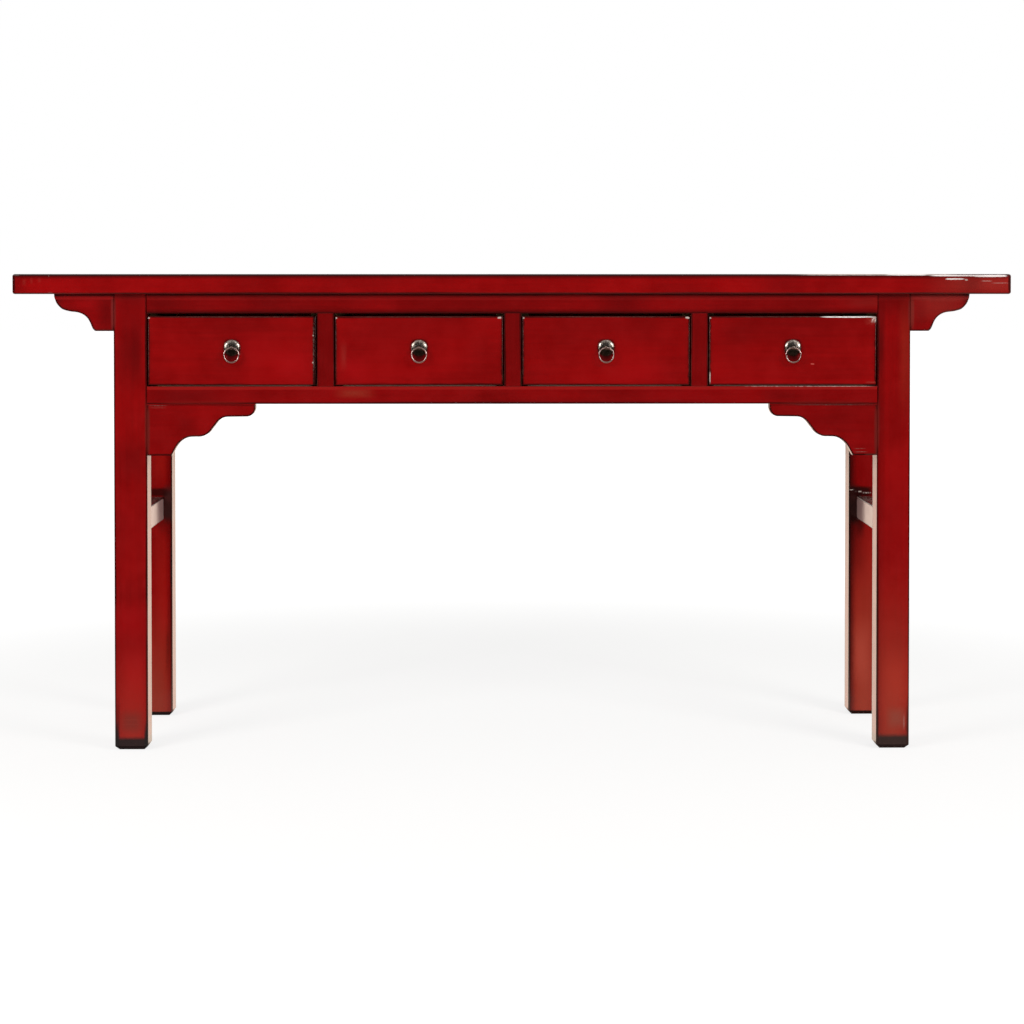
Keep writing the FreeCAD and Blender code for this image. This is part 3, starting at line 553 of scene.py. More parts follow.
MARKS = {
    "leg_front_left": [
        ((-689, -185, 735), (36, 15, 105), SHADE, 0.45, 0.9, 3, 0),
        ((-680, -185, 720), (14, 15, 85), SHADE, 0.30, 0.9, 3, 0),
        ((-685, -185, 525), (44, 15, 60), SHADE, 0.30, 1.0, 3, 0),
        ((-691.5, -185, 390), (60, 15, 60), SHADE, 0.12, 1.0, 3, 0),
        ((-686, -185, 130), (44, 15, 100), LIVELY, 0.85, 1.0, 3, 0),
    ] + leg_marks(-1, -185, 27, BLACK, 230, tone(168, 42, 30), 0.6) + [
        # More painted sheen of the floor's reflection just above the foot
        ((-691.5, -185, 51), (28, 15, 28), tone(122, 40, 32), 0.8, 0.8, 2, 0.1),
        ((-721, -185, 0), (10, 9, 66), BLACK, 0.95, 0.5, 2, 0),
        ((-662, -185, 0), (8, 9, 62), BLACK, 0.95, 0.5, 2, 0),
        ((-691.5, -185, 235), (60, 15, 50), LIVELY, 0.5, 1.0, 3, 0),
        ((-716, -185, 60), (6, 15, 46), SOOT_AND_SHADE, 0.4, 0.9, 3, 0),
        ((-691.5, -185, 55), (20, 3, 1.2), PINK, 0.4, 0.7, 1, 0.3),
        ((-691.5, -185, 47), (22, 3, 1.0), PINK, 0.3, 0.7, 1, 0.3)],
    "leg_front_right": [
        ((668, -185, 740), (10, 15, 90), SHADE, 0.5, 1.0, 3, 0),
        ((662, -185, 300), (18, 15, 1500), SHADE, 0.4, 1.0, 3, 0),
        # A painted sheen of the room's reflection high on the leg
        ((712, -185, 720), (16, 15, 150), PAINTED_SHEEN, 0.22, 1.0, 3, 0),
        ((691.5, -185, 420), (50, 15, 110), SHADE, 0.14, 1.0, 3, 0),
        # A painted sheen of the floor's reflection near the foot
        ((696, -185, 120), (40, 15, 80), tone(190, 44, 30), 0.5, 1.0, 3, 0),
    ] + leg_marks(1, -185, 30, FOOT_GREY, 370, PAINTED_SHEEN, 0.7) + [
        # More painted sheen of the floor's reflection just above the foot
        ((698, -185, 56), (24, 15, 26), tone(140, 66, 52), 0.7, 0.9, 2, 0),
        ((720, -185, 40), (6, 6, 66), SOOT_AND_SHADE, 0.7, 0.8, 3, 0),
        ((663, -185, 40), (5, 6, 60), SOOT_AND_SHADE, 0.6, 0.8, 3, 0),
        ((712, -185, 48), (2.5, 3, 18), PALE, 0.14, 0.9, 2, 0.3)],
    "leg_rear_left": [
        ((-682, 135, 250), (22, 12, 240), tone(160, 24, 16), 0.5, 1.0, 3, 0),
        ((-684, 135, 500), (24, 12, 70), tone(172, 22, 14), 0.6, 1.0, 3, 0),
        ((-668, 135, 175), (5, 12, 110), SOOT_AND_SHADE, 0.4, 0.9, 3, 0.2),
        ((-672, 135, 190), (24, 12, 60), LIVELY, 0.3, 1.0, 3, 0),
    ] + leg_marks(-1, 135, 10, BLACK, 270, BROWN_STAIN_AND_SHEEN, 0.65) + [
        ((-663, 135, 260), (14, 12, 1500), SHADE, 0.4, 1.0, 3, 0),
        # Darker beside the stretcher's end, a painted shade
        ((-667, 135, 414), (17, 12, 44), tone(56, 28, 26), 0.9, 0.5, 1.5, 0),
        ((-688, 135, 438), (24, 12, 11), SOOT_AND_SHADE, 0.85, 0.6, 2, 0),
        ((-672, 135, 130), (5, 3, 60), SOOT_AND_SHADE, 0.35, 0.9, 4, 0.4),
        ((-663, 135, 290), (3, 3, 60), BLACK, 0.8, 0.7, 3, 0.3)],
    "leg_rear_right": leg_marks(1, 135, 10, SOOT_AND_SHADE, 460, PAINTED_SHEEN, 0.95) + [
        ((672, 135, 340), (34, 12, 110), SHADE, 0.5, 1.0, 3, 0),
        # A painted sheen of the floor's reflection near the foot
        ((684, 135, 120), (30, 12, 90), tone(196, 82, 64), 0.42, 1.0, 3, 0),
        ((662, 135, 260), (17, 12, 1500), SOOT_AND_SHADE, 0.85, 1.0, 3, 0),
        # Darker beside the stretcher's end, a painted shade
        ((667, 135, 412), (22, 12, 46), tone(36, 13, 11), 0.95, 0.4, 1.5, 0),
        ((682, 135, 438), (32, 12, 13), SOOT_AND_SHADE, 0.92, 0.5, 2, 0),
        # Pale specks by the stretcher's top: wear and painted glints
        ((667, 135, 442), (5, 6, 2.2), PALE, 0.9, 0.5, 2, 1.0),
        ((681, 135, 438), (8, 6, 1.6), PALE, 0.8, 0.5, 2, 1.0),
        ((697, 135, 435.5), (10, 6, 1.8), PALE, 0.8, 0.5, 2, 1.0),
        ((684, 135, 372), (12, 15, 34), SOOT_AND_SHADE, 0.5, 1.0, 4, 0)],
    "drawer_1_front": front_marks(DRAWER_MIDDLES[0], (-1,)) + [
        ((-400, -185, 700), (60, 15, 42), LIVELY, 0.6, 1.0, 3, 0),
        ((-470, -185, 730), (60, 15, 42), LIVELY, 0.3, 1.0, 3, 0),
        # A dark band down the right edge of the front, painted shade of the gap beside it
        ((-357.4, -185, 725), (5.6, 9, 900), tone(30, 8, 7), 0.9, 0.5, 1.5, 0),
        ((-360.2, -185, 725), (1.6, 3, 62), GREY, 0.5, 0.5, 1.2, 1.0),
        ((-361.0, -185, 752.4), (1.5, 3, 1.8), PALE, 0.6, 0.6, 1.0, 0.2),
        ((-361.5, -185, 703.5), (1.5, 3, 1.8), PALE, 0.7, 0.6, 1.0, 0.2)],
    "drawer_2_front": front_marks(DRAWER_MIDDLES[1], (-1,)) + [
        ((-220, -185, 755), (110, 15, 60), SHADE, 0.16, 1.0, 3, 0),
        ((-290, -185, 690), (46, 15, 38), LIVELY, 0.55, 1.0, 3, 0),
        ((-306, -185, 715), (8, 15, 34), PINK, 0.30, 1.0, 3, 0.2),
        ((-24, -185, 784.5), (4, 3, 2.2), PALE, 0.9, 0.5, 1.5, 0.3)],
    "drawer_3_front": front_marks(DRAWER_MIDDLES[2]) + [
        ((200, -185, 765), (150, 15, 50), SHADE, 0.18, 1.0, 3, 0),
        ((240, -185, 684), (70, 15, 30), LIVELY, 0.4, 1.0, 3, 0),
        ((316, -185, 784.5), (4, 3, 2.2), PALE, 0.8, 0.5, 1.5, 0.3)],
    "drawer_4_front": front_marks(DRAWER_MIDDLES[3]) + [
        ((400, -185, 760), (60, 15, 36), SHADE, 0.2, 1.0, 3, 0),
        ((608, -185, 786.0), (54, 4, 1.7), WHITE, 0.95, 0.3, 0.8, 0.2),
        ((649, -185, 779), (13, 15, 9), PINK, 0.9, 0.8, 6, 0.8),
        ((655, -185, 781), (6, 3, 7), PALE, 0.9, 0.6, 4, 0.8),
        ((543.6, -185, 700.5), (4, 3, 1.3), tone(196, 84, 76), 0.9, 0.5, 1.5, 0),
        ((357.6, -185, 676), (1.5, 3, 13), PALE, 0.7, 0.6, 1, 0.3),
        ((650, -185, 667), (12, 3, 2), PINK, 0.7, 0.7, 2, 0.4)],
    "front_bottom_rail": [
        ((-286, -185, 648), (46, 15, 12), BROWN_STAIN_AND_SHEEN, 0.55, 1.0, 3, 0.2),
        ((533, -185, 660.4), (130, 4, 1.7), PALE, 0.85, 0.4, 1, 0.8),
        ((600, -185, 660.4), (62, 4, 1.4), PALE, 0.7, 0.4, 1, 0.3),
        ((-590, -185, 642), (120, 15, 26), SHADE, 0.42, 1.0, 3, 0),
        ((485, -185, 644), (60, 15, 24), SHADE, 0.30, 1.0, 3, 0),
        ((290, -185, 644), (110, 15, 24), LIVELY, 0.35, 1.0, 3, 0),
        # A lighter strip under the drawers, a painted highlight
        ((0, -185, 657.2), (2500, 9, 3.6), tone(150, 20, 18), 0.85, 0.4, 0.6, 0),
        ((0, -185, 628.5), (474, 9, 8.0), SHADE, 0.45, 0.8, 1.0, 0),
        ((0, -185, 628.5), (470, 9, 4.2), SOOT_AND_SHADE, 0.7, 0.5, 0.6, 0),
        ((-560, -185, 629.5), (100, 9, 6), tone(114, 16, 13), 0.6, 0.6, 1, 0),
        ((560, -185, 629.5), (100, 9, 6), tone(114, 16, 13), 0.6, 0.6, 1, 0)],
    "front_top_rail": [
        # A lighter band under the top, painted light against the top's shadow
        ((0, -185, 820), (2500, 9, 5.0), tone(150, 18, 18), 0.55, 0.7, 0.8, 0),
        # Painted shade along the lower edge, above the drawers
        ((0, -185, 792.5), (2500, 6, 11), SHADE, 0.75, 1.0, 2, 0),
        ((-447, -185, 810), (70, 15, 30), SHADE, 0.34, 1.0, 3, 0),
        ((200, -185, 810), (70, 15, 30), SHADE, 0.34, 1.0, 3, 0),
        ((-640, -185, 810), (60, 15, 30), SHADE, 0.25, 1.0, 3, 0),
        ((650, -185, 810), (60, 15, 30), SHADE, 0.25, 1.0, 3, 0),
        # A pinkish painted sheen at the right end
        ((640, -185, 812), (60, 15, 14), PINK, 0.14, 1.0, 3, 0)],
    "wing_bracket_front_right": [
        # A pinkish painted sheen, the room's reflection at the right end
        ((780, -184, 820), (64, 15, 9), PINK, 0.4, 1.0, 3, 0.1),
        ((775, -184, 806), (72, 15, 40), PINK, 0.30, 1.0, 3, 0),
        ((740, -184, 790), (16, 15, 34), SHADE, 0.2, 1.0, 3, 0),
        ((828, -184, 826), (16, 15, 24), SOOT_AND_SHADE, 0.7, 1.0, 1, 0),
        # A dark joint line under the top with painted shade, then a lighter band of painted light against
        # the top's shadow
        ((0, -184, 827.5), (2500, 9, 3.4), SOOT_AND_SHADE, 0.5, 0.5, 0.6, 0),
        ((0, -184, 820.5), (2500, 9, 4.5), tone(160, 40, 38), 0.6, 0.7, 0.8, 0),
        ((724.5, -184, 793), (5.0, 12, 36), tone(122, 36, 30), 0.85, 0.6, 0.8, 0)],
    "wing_bracket_front_left": [
        ((-734, -184, 795), (24, 15, 60), SHADE, 0.42, 1.0, 3, 0),
        ((-775, -184, 808), (28, 15, 14), LIVELY, 0.35, 1.0, 3, 0),
        ((-828, -184, 826), (20, 15, 26), SOOT_AND_SHADE, 0.8, 1.0, 1, 0),
        # A dark joint line under the top with painted shade, then a lighter band of painted light against
        # the top's shadow
        ((0, -184, 827.5), (2500, 9, 3.4), SOOT_AND_SHADE, 0.6, 0.5, 0.6, 0),
        ((0, -184, 820.5), (2500, 9, 4.5), tone(168, 20, 22), 0.7, 0.7, 0.8, 0),
        ((-723.5, -184, 793), (3.4, 12, 36), tone(120, 34, 32), 0.85, 0.5, 0.8, 0)],
    "lower_spandrel_left": [
        ((-659.5, -184, 580), (4.0, 12, 52), tone(110, 26, 22), 0.85, 0.5, 0.8, 0),
        ((-642, -184, 625.4), (20, 3, 1.2), GREY, 0.4, 0.7, 1.5, 0.4),
        ((-642, -184, 621.5), (18, 3, 1.0), GREY, 0.25, 0.7, 1.5, 0.5),
        ((-590, -184, 590), (26, 15, 22), SHADE, 0.22, 1.0, 3, 0),
        ((-561, -184, 628), (100, 3, 1.8), SHADE, 0.5, 0.6, 1, 0.2)],
    "lower_spandrel_right": [
        ((659.5, -184, 580), (4.0, 12, 52), tone(110, 26, 22), 0.85, 0.5, 0.8, 0),
        ((578, -184, 626.6), (92, 3, 1.2), GREY, 0.35, 0.6, 1, 0.6),
        ((564, -184, 628), (98, 3, 1.6), SHADE, 0.7, 0.6, 1, 0.3),
        ((560, -184, 600), (90, 15, 40), SHADE, 0.18, 1.0, 3, 0),
        ((632, -184, 541), (14, 3, 1.2), GREY, 0.5, 0.7, 1.5, 0.3),
        ((630, -184, 547), (14, 3, 1.0), GREY, 0.4, 0.7, 1.5, 0.4)],
    "side_stretcher_left": [
        # A pale painted reflection over the inner face
        ((-677, 0, 406), (4, 160, 24), tone(206, 172, 166), 0.8, 0.1, 1, 0),
        # Darker where it meets the rear leg, a painted shade
        ((-677, 137, 406), (6, 14, 60), BLACK, 0.9, 0.5, 1, 0),
        # Pale specks on the worn dark top: wear and painted glints
        ((-691.5, 0, 431), (20, 500, 5.5), SOOT_AND_SHADE, 0.92, 0.4, 2, 0.1),
        ((-691.5, 0, 431), (18, 500, 3), PALE, 0.3, 0.4, 2, 1.0)],
    "side_stretcher_right": [
        # A pale painted reflection over the inner face
        ((677, 0, 406), (4, 160, 24), tone(192, 168, 162), 0.7, 0.1, 1, 0),
        # Pale specks and a pale line on the worn dark top: wear and painted glints
        ((691.5, 0, 431), (20, 500, 5.5), SOOT_AND_SHADE, 0.92, 0.4, 2, 0.1),
        ((691.5, 0, 431), (18, 500, 3), PALE, 0.4, 0.4, 2, 1.0),
        ((677, 0, 427.5), (2.5, 500, 1.2), PALE, 0.8, 0.5, 0.6, 0.4)],
}

# The top's three pieces share one coat, from end to end
top_low, top_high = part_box("top_planks")
outer_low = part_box("top_end_left")[0]
whole_top = (Vector((outer_low.x, top_low.y, top_low.z)), Vector((-outer_low.x, top_high.y, top_high.z)))
for name in ("top_planks", "top_end_left", "top_end_right"):
    MARKS[name] = TOP_MARKS

# One upright's coat, which repeats for the three
divider_low, divider_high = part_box("drawer_dividers")
divider_pitch = DRAWER_PITCH * MM
divider_half = divider_high.x - divider_pitch
one_divider = (Vector((-divider_half, divider_low.y, divider_low.z)),
               Vector((divider_half, divider_high.y, divider_high.z)))
NO_REPEAT = 10

# Widths of the eased edges
BOARD_EASE = 0.5 * MM
WING_EASE = 0.4 * MM
PIN_EASE = 0.25 * MM


def eased(piece, width, sharp_from):
    """Rounds the edges that turn by more than an angle in degrees."""
    bevel = piece.modifiers.new("eased", "BEVEL")
    bevel.width = width
    bevel.segments = 2
    bevel.limit_method = "ANGLE"
    bevel.angle_limit = math.radians(sharp_from)
    bevel.harden_normals = True


def softened(piece, width):
    """Rounds the hard edges of a wooden piece a little, as sanding and lacquer do."""
    weld = piece.modifiers.new("joined", "WELD")
    weld.merge_threshold = 0.00001
    eased(piece, width, 40)


def dress_packed_pieces():
    """Gives every carried-over piece its wood or lacquer, but for the metal, which is replaced."""
    for number, name in enumerate(sorted(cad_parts)):
        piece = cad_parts[name]
        if name.endswith(METAL_ENDS):
            continue
        if name.endswith(BARE_ENDS):
            material = bare(name, number)
        elif name.startswith("top_"):
            material = lacquered(name, 0, MARKS[name], whole_top)
        elif name == "drawer_dividers":
            material = lacquered(name, number, (), one_divider, (divider_pitch, NO_REPEAT, NO_REPEAT))
            softened(piece, BOARD_EASE)
        else:
            outlined = name.startswith(OUTLINED_STARTS)
            material = lacquered(name, number, MARKS.get(name, ()), outlined=outlined)
            if not name.startswith("leg_"):
                softened(piece, BOARD_EASE)
        piece.data.materials.clear()
        piece.data.materials.append(material)


dress_packed_pieces()


# Making the scene's own pieces

def new_piece(name, mesh_tool, material):
    """An object from a finished bmesh, smooth, with its material."""
    mesh = bpy.data.meshes.new(name)
    bmesh.ops.recalc_face_normals(mesh_tool, faces=mesh_tool.faces)
    mesh_tool.to_mesh(mesh)
    mesh_tool.free()
    mesh.shade_smooth()
    mesh.materials.append(material)
    piece = bpy.data.objects.new(name, mesh)
    bpy.context.scene.collection.objects.link(piece)
    return piece


def smooth_line(points, steps=7):
    """A flowing line through all the points."""
    line = [points[0]]
    for i in range(len(points) - 1):
        start, end = points[i], points[i + 1]
        before, after = points[max(i - 1, 0)], points[min(i + 2, len(points) - 1)]
        first, second = start + (end - before) / 6, end - (after - start) / 6
        line += interpolate_bezier(start, first, second, end, steps)[1:]
    return line


def slab(mesh_tool, outline, thickness):
    """A closed slab from its outline and the step to its other face."""
    near = [mesh_tool.verts.new(point) for point in outline]
    far = [mesh_tool.verts.new(point + thickness) for point in outline]
    mesh_tool.faces.new(near)
    mesh_tool.faces.new(far[::-1])
    for i in range(len(near)):
        n = (i + 1) % len(near)
        mesh_tool.faces.new((near[i], near[n], far[n], far[i]))


def skin(mesh_tool, rows, closed):
    """Quads from each ring of points to the next, and from the last to the first if closed."""
    rings = [[mesh_tool.verts.new(point) for point in row] for row in rows]
    count = len(rings[0])
    pairs = len(rings) if closed else len(rings) - 1
    for i in range(pairs):
        near, far = rings[i], rings[(i + 1) % len(rings)]
        for k in range(count):
            n = (k + 1) % count
            mesh_tool.faces.new((near[k], near[n], far[n], far[k]))
    return rings


# Wing brackets, with the ogee sawn finer than in the solids

WING_REACH = 106.0 * MM
WING_DROP = 67.0 * MM
WING_LAP = 0.5 * MM
WING_TONGUE = 8.0 * MM
WING_TONGUE_HEIGHT = 6.0 * MM
WING_TONGUE_INSET = 12.0 * MM
WING_TENON_LENGTH = 15.0 * MM
WING_TENON_HEIGHT = 36.0 * MM
LEG_OUTER = (LEG_MIDDLE_X + LEG_WIDTH / 2) * MM
UNDERSIDE = 827.5 * MM

# The ogee from the tip to the heel, as shares of the reach from the leg and of the drop from the top
OGEE = ((1.012, 0.0), (1.005, 0.09), (0.986, 0.178), (0.963, 0.258), (0.921, 0.338), (0.870, 0.405),
        (0.794, 0.448), (0.716, 0.473), (0.640, 0.486), (0.588, 0.503), (0.537, 0.533), (0.486, 0.583),
        (0.441, 0.652), (0.408, 0.735), (0.384, 0.820), (0.366, 0.890), (0.345, 0.950), (0.310, 1.0))


def wing_bracket(end, side_name, side):
    """An ogee bracket with its tongue in the top and its tenon in the leg."""
    node = "wing_bracket_%s_%s" % (end, side_name)
    low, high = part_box(node)
    middle_y = (low.y + high.y) / 2
    root = side * LEG_OUTER

    def corner(x, z, y=low.y):
        return Vector((x, y, z))

    ogee = smooth_line([corner(root + side * out * WING_REACH, UNDERSIDE - down * WING_DROP)
                        for out, down in OGEE])
    mesh_tool = bmesh.new()
    board = ogee + [corner(root, UNDERSIDE - WING_DROP), corner(root, UNDERSIDE)]
    slab(mesh_tool, board, Vector((0, high.y - low.y, 0)))
    tongue_x = (root + side * WING_TONGUE_INSET, root + side * (WING_REACH - WING_TONGUE_INSET))
    tongue_z = (UNDERSIDE - WING_LAP, UNDERSIDE + WING_TONGUE_HEIGHT)
    tenon_x = (root + side * WING_LAP, root - side * WING_TENON_LENGTH)
    tenon_low = UNDERSIDE - (WING_DROP + WING_TENON_HEIGHT) / 2
    tenon_z = (tenon_low, tenon_low + WING_TENON_HEIGHT)
    near_y = middle_y - WING_TONGUE / 2
    for xs, zs in ((tongue_x, tongue_z), (tenon_x, tenon_z)):
        block = [corner(xs[0], zs[0], near_y), corner(xs[1], zs[0], near_y),
                 corner(xs[1], zs[1], near_y), corner(xs[0], zs[1], near_y)]
        slab(mesh_tool, block, Vector((0, WING_TONGUE, 0)))
    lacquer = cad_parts[node].data.materials[0]
    piece = new_piece("ogee_wing_%s_%s" % (end, side_name), mesh_tool, lacquer)
    softened(piece, WING_EASE)
    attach(piece, "table")
    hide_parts(node)


def make_wings():
    """The four ogee brackets, in their solids' lacquer."""
    for end in ("front", "rear"):
        wing_bracket(end, "left", -1)
        wing_bracket(end, "right", 1)


# Ring pulls, smooth and round in place of the faceted ones

PLATE_RADIUS = 15.0 * MM
PLATE_HEIGHT = 7.0 * MM
PLATE_SHEET = 1.2 * MM
PLATE_RIM = 0.8 * MM
PLATE_HOLE = 2.0 * MM
DOME_STEPS = 14
PIN_WIDTH = 2.8 * MM
PIN_THICKNESS = 1.2 * MM
PIN_HALF_GAP = 0.05 * MM
EYE_RADIUS = 3.1 * MM
EYE_STEPS = 28
RING_WIRE = 2.6 * MM
RING_WORN = 0.09
RING_INSET = 0.1 * MM
RING_SIDES = 20
ROUND_STEPS = 72
SHADE_DROP = 4.2 * MM


def dome_arc(radius, rise, steps):
    """Points from the hole's edge over a dome to its rim, as radius and height."""
    start = math.asin(PLATE_HOLE / radius)
    arc = []
    for i in range(steps + 1):
        angle = start + i / steps * (math.pi / 2 - start)
        arc.append((radius * math.sin(angle), PLATE_RIM + rise * math.cos(angle)))
    return arc


def dome_profile():
    """Half section of the plate from its hole over the dome, round the rim and back inside."""
    rise = PLATE_HEIGHT - PLATE_RIM
    inner_radius = PLATE_RADIUS - PLATE_SHEET
    outer = dome_arc(PLATE_RADIUS, rise, DOME_STEPS)
    inner = dome_arc(inner_radius, rise - PLATE_SHEET, DOME_STEPS // 2)
    return outer + [(PLATE_RADIUS, 0.0), (inner_radius, 0.0)] + inner[::-1]


def pull_plate(drawer, material):
    """A hollow dome, turned from its half section about the pin's line."""
    low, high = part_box(drawer + "_pull_plate")
    centre = (low + high) / 2
    back = high.y
    profile = dome_profile()
    mesh_tool = bmesh.new()
    rows = []
    for step in range(ROUND_STEPS):
        turn = 2 * math.pi * step / ROUND_STEPS
        rows.append([(centre.x + radius * math.sin(turn), back - out, centre.z + radius * math.cos(turn))
                     for radius, out in profile])
    skin(mesh_tool, rows, True)
    return new_piece(drawer + "_dome", mesh_tool, material)


def pin_path(low, high):
    """The strip's middle line, from one turned tip through the front, round the eye and back."""
    centre_z = (low.z + high.z) / 2
    eye_y = low.y + EYE_RADIUS
    inside_y = high.y - PIN_THICKNESS / 2
    lift = PIN_HALF_GAP + PIN_THICKNESS / 2
    bend = EYE_RADIUS - PIN_THICKNESS / 2
    start = math.asin(lift / bend)
    path = [(inside_y, high.z), (inside_y, centre_z + lift)]
    for i in range(EYE_STEPS + 1):
        angle = start + i / EYE_STEPS * (2 * math.pi - 2 * start)
        path.append((eye_y + bend * math.cos(angle), centre_z + bend * math.sin(angle)))
    return path + [(inside_y, centre_z - lift), (inside_y, low.z)]


def pull_pin(drawer, material):
    """A strip bent round into an eye, both ends through the front and turned over inside."""
    low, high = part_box(drawer + "_pull_pin")
    centre_x = (low.x + high.x) / 2
    path = [Vector(point) for point in pin_path(low, high)]
    half_width = PIN_WIDTH / 2
    half_sheet = PIN_THICKNESS / 2
    mesh_tool = bmesh.new()
    rows = []
    for i, here in enumerate(path):
        before = path[max(i - 1, 0)]
        after = path[min(i + 1, len(path) - 1)]
        run = (after - before).normalized()
        side = Vector((-run.y, run.x)) * half_sheet
        corner = 1.0
        if 0 < i < len(path) - 1:
            first = (here - before).normalized()
            second = (after - here).normalized()
            corner = 1 / max(math.cos(first.angle(second) / 2), 0.5)
        rows.append([(centre_x + across * half_width, here.x + side.x * out * corner,
                      here.y + side.y * out * corner)
                     for across, out in ((-1, -1), (1, -1), (1, 1), (-1, 1))])
    rings = skin(mesh_tool, rows, False)
    mesh_tool.faces.new(rings[0])
    mesh_tool.faces.new(rings[-1])
    piece = new_piece(drawer + "_split_pin", mesh_tool, material)
    eased(piece, PIN_EASE, 50)
    return piece


def pull_ring(drawer, material):
    """A ring of round wire, a little thicker at the bottom than where it rubs in the eye."""
    low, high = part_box(drawer + "_pull_ring")
    centre = (low + high) / 2
    wire = RING_WIRE / 2
    radius = (high.z - low.z) / 2 - wire - RING_INSET
    mesh_tool = bmesh.new()
    rows = []
    for step in range(ROUND_STEPS):
        turn = 2 * math.pi * step / ROUND_STEPS
        thickness = wire * (1 - RING_WORN * (0.5 + 0.5 * math.cos(turn)))
        row = []
        for side in range(RING_SIDES):
            angle = 2 * math.pi * side / RING_SIDES
            reach = radius + thickness * math.cos(angle)
            row.append((centre.x + reach * math.sin(turn), centre.y + thickness * math.sin(angle),
                        centre.z + reach * math.cos(turn)))
        rows.append(row)
    skin(mesh_tool, rows, True)
    return new_piece(drawer + "_ring", mesh_tool, material)


def make_pulls():
    """The plate, pin and ring of each drawer, in place of the faceted ones."""
    low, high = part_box("drawer_1_pull_plate")
    shaded_below = (low.z + high.z) / 2 - SHADE_DROP
    plate_metal = tarnished("pull_plate_metal", tone(200, 188, 176), 0.22, 0.7, shaded_below)
    pin_metal = tarnished("pull_pin_metal", tone(200, 184, 172), 0.25, 0.15)
    ring_metal = tarnished("pull_ring_metal", tone(236, 206, 198), 0.32, 0.1)
    for drawer in DRAWERS:
        for piece, body, node in (
                (pull_plate(drawer, plate_metal), drawer, "_pull_plate"),
                (pull_pin(drawer, pin_metal), drawer, "_pull_pin"),
                (pull_ring(drawer, ring_metal), drawer.replace("drawer", "ring"), "_pull_ring")):
            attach(piece, body)
            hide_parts(drawer + node)


make_wings()
make_pulls()


# Floor, backdrop, lamps and camera

# The even light of the world, and the glow of two lamps that the lacquer mirrors
EVEN_LIGHT = 0.42
DARKEST_MIRRORED = 0.03
LAMP_GLOW = 8.0
LAMP_WAY = (0.84, -0.42, 0.36)

# The lamps that light the table
LAMP_SIZE = 1.2
LAMP_POWER = 50.0
LAMP_AIM = (0, 0, 0.6)

FLOOR_HALF = 30.0
FLOOR_LEVEL = -0.2 * MM
FLOOR_WHITE = 1.13
TABLE_FRONT = -185 * MM


def seen_directly(tree):
    """1 for rays from the camera and through glass, which see white, and 0 for the rest."""
    rays = add(tree, "LightPath").outputs
    return calc(tree, "MAXIMUM", rays["Is Camera Ray"], rays["Is Transmission Ray"])


def mirrored_studio(tree):
    """The dim studio: walls at the camera's sides, a ceiling, a backdrop and two lamps."""
    towards = add(tree, "TexCoord").outputs["Generated"]
    x, y, z = parts(tree, towards)
    sideways = calc(tree, "DIVIDE", x, calc(tree, "MAXIMUM", calc(tree, "ABSOLUTE", y), 0.001))
    right = fade(tree, sideways, 0.35, 0.7, 0.0, 0.5)
    left = fade(tree, sideways, -0.6, -1.0, 0.0, 0.35)
    behind_camera = calc(tree, "MULTIPLY", fade(tree, y, 0.05, -0.05), fade(tree, z, 0.05, 0.25))
    walls = calc(tree, "MULTIPLY", calc(tree, "ADD", right, left), behind_camera)
    ceiling = fade(tree, z, 0.45, 0.85, 0.0, 0.4)
    backdrop = calc(tree, "MULTIPLY", fade(tree, y, 0.0, 0.3), fade(tree, z, 0.05, 0.2, 0.0, 0.45))
    light = calc(tree, "ADD", walls, calc(tree, "ADD", ceiling, backdrop))
    light = calc(tree, "ADD", light, DARKEST_MIRRORED)
    for side in (-1, 1):
        lamp_way = Vector((side * LAMP_WAY[0], LAMP_WAY[1], LAMP_WAY[2])).normalized()
        nearness = vector_number(tree, "DOT_PRODUCT", towards, lamp_way)
        light = calc(tree, "ADD", light, fade(tree, nearness, 0.965, 0.990, 0.0, LAMP_GLOW))
    return light


def room_world():
    """White behind the table for the camera, and a dim studio for the lacquer to mirror."""
    world = bpy.data.worlds.new("studio")
    bpy.context.scene.world = world
    world.use_nodes = True
    tree = world.node_tree
    tree.nodes.clear()
    rays = add(tree, "LightPath").outputs
    strength = weighed(tree, rays["Is Glossy Ray"], EVEN_LIGHT, mirrored_studio(tree))
    strength = weighed(tree, seen_directly(tree), strength, 1.0)
    background = add(tree, "Background", {"Color": (1, 1, 1, 1), "Strength": strength})
    output = tree.nodes.new("ShaderNodeOutputWorld")
    feed(tree, output.inputs["Surface"], background.outputs[0])


def outside(tree, value, middle, half):
    """How far a value lies outside a span about its middle."""
    from_middle = calc(tree, "ABSOLUTE", calc(tree, "SUBTRACT", value, middle))
    return calc(tree, "SUBTRACT", from_middle, half)


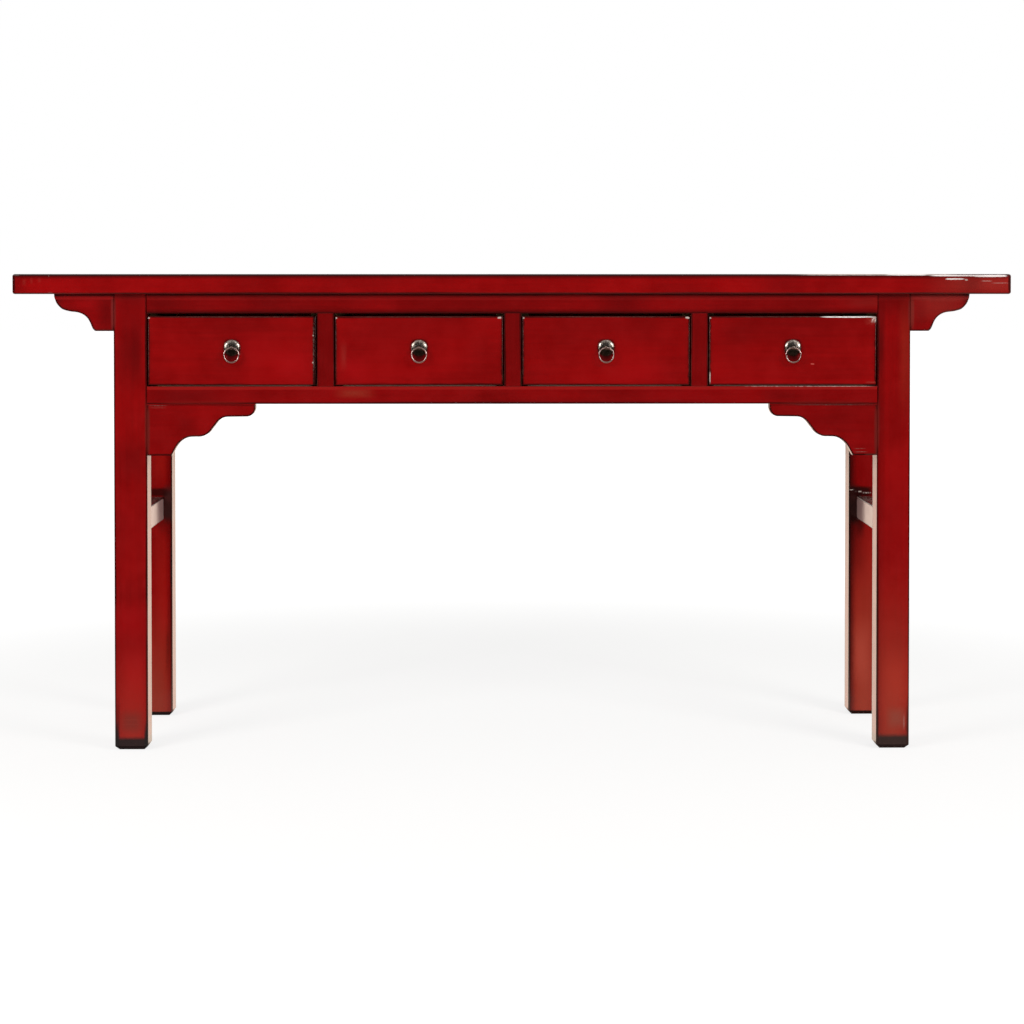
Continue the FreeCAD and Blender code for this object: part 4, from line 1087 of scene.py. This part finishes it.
def floor_glow(tree, place):
    """How brightly the lacquer mirrors the floor: less far ahead and past the ends, and dimmed by the feet
    as a painted contact shadow.
    """
    x, y, z = parts(tree, place)
    aside = calc(tree, "ABSOLUTE", x)
    before = calc(tree, "SUBTRACT", TABLE_FRONT, y)
    ahead = calc(tree, "MAXIMUM", before, 0.0)
    reach = fade(tree, x, -0.8, 0.8, 0.35, 0.9)
    near = calc(tree, "EXPONENT", calc(tree, "DIVIDE", calc(tree, "MULTIPLY", ahead, -1.0), reach))
    between_legs = fade(tree, aside, 0.655, 0.665, 1.0, 0.0)
    under = calc(tree, "MULTIPLY", between_legs, fade(tree, before, -0.05, -0.02, 1.0, 0.0))
    near = calc(tree, "MULTIPLY", near, calc(tree, "MULTIPLY_ADD", under, 1.05, 0.4))
    near = calc(tree, "MULTIPLY", near, fade(tree, aside, 0.9, 1.4, 1.0, 0.2))
    # A painted contact shadow: the mirrored glow dims close to each foot
    beside_foot = outside(tree, aside, LEG_MIDDLE_X * MM, LEG_WIDTH / 2 * MM)
    off_foot = outside(tree, calc(tree, "ABSOLUTE", y), LEG_MIDDLE_Y * MM, LEG_DEPTH / 2 * MM)
    from_foot = calc(tree, "MAXIMUM", beside_foot, off_foot)
    near = calc(tree, "MULTIPLY", near, fade(tree, from_foot, 0.0, 0.03, 0.1, 1.0))
    return calc(tree, "ADD", near, DARKEST_MIRRORED)


def pale_floor():
    """A wide pale floor, white to the camera but for the table's soft shadow."""
    mesh_tool = bmesh.new()
    corners = [mesh_tool.verts.new((x * FLOOR_HALF, y * FLOOR_HALF, FLOOR_LEVEL))
               for x, y in ((-1, -1), (1, -1), (1, 1), (-1, 1))]
    mesh_tool.faces.new(corners)
    material, tree, surface = new_material("pale_floor")
    place = object_place(tree)
    pale = mixed(tree, cloud(tree, place, 40.0, 3.0), tone(232, 230, 226), tone(238, 236, 232))
    feed(tree, surface.inputs["Base Color"], pale)
    surface.inputs["Roughness"].default_value = 0.9
    surface.inputs["Specular IOR Level"].default_value = 0.0
    white = add(tree, "Emission", {"Color": (1, 1, 1, 1), "Strength": FLOOR_WHITE})
    shaded = fade(tree, vector_number(tree, "LENGTH", place), 1.0, 2.6, 0.3, 0.0)
    lit = add(tree, "MixShader", {0: shaded, 1: white.outputs[0], 2: surface.outputs[0]})
    glow = add(tree, "Emission", {"Color": tone(255, 230, 210), "Strength": floor_glow(tree, place)})
    rays = add(tree, "LightPath").outputs
    mirrored = add(tree, "MixShader", {0: rays["Is Glossy Ray"], 1: surface.outputs[0], 2: glow.outputs[0]})
    chosen = add(tree, "MixShader", {0: seen_directly(tree), 1: mirrored.outputs[0], 2: lit.outputs[0]})
    feed(tree, tree.nodes["Material Output"].inputs["Surface"], chosen.outputs[0])
    floor = new_piece("studio_floor", mesh_tool, material)


def softbox(name, place):
    """A square lamp turned to the table, which nothing mirrors."""
    data = bpy.data.lights.new(name, "AREA")
    data.shape = "SQUARE"
    data.size = LAMP_SIZE
    data.energy = LAMP_POWER
    lamp = bpy.data.objects.new(name, data)
    lamp.location = place
    lamp.rotation_euler = (Vector(LAMP_AIM) - Vector(place)).to_track_quat("-Z", "Y").to_euler()
    lamp.visible_glossy = False
    bpy.context.scene.collection.objects.link(lamp)


def photo_camera():
    """The camera, as fitted to the picture."""
    data = bpy.data.cameras.new("photo_camera")
    data.sensor_width = SENSOR
    data.sensor_fit = "HORIZONTAL"
    data.lens = FOCAL_PIXELS * SENSOR / PICTURE_SIDE
    data.shift_y = (AXIS_ROW - PICTURE_SIDE / 2) / PICTURE_SIDE
    data.clip_end = 100.0
    camera = bpy.data.objects.new("photo_camera", data)
    camera.location = CAMERA_PLACE
    camera.rotation_euler = (math.pi / 2 - CAMERA_DOWN, 0, CAMERA_TURN)
    bpy.context.scene.collection.objects.link(camera)
    bpy.context.scene.camera = camera


room_world()
pale_floor()
softbox("lamp_right", (2.3, -2.4, 2.2))
softbox("lamp_left", (-2.3, -2.4, 2.0))
photo_camera()
bpy.context.scene.view_settings.view_transform = "Standard"

bpy.context.view_layer.update()
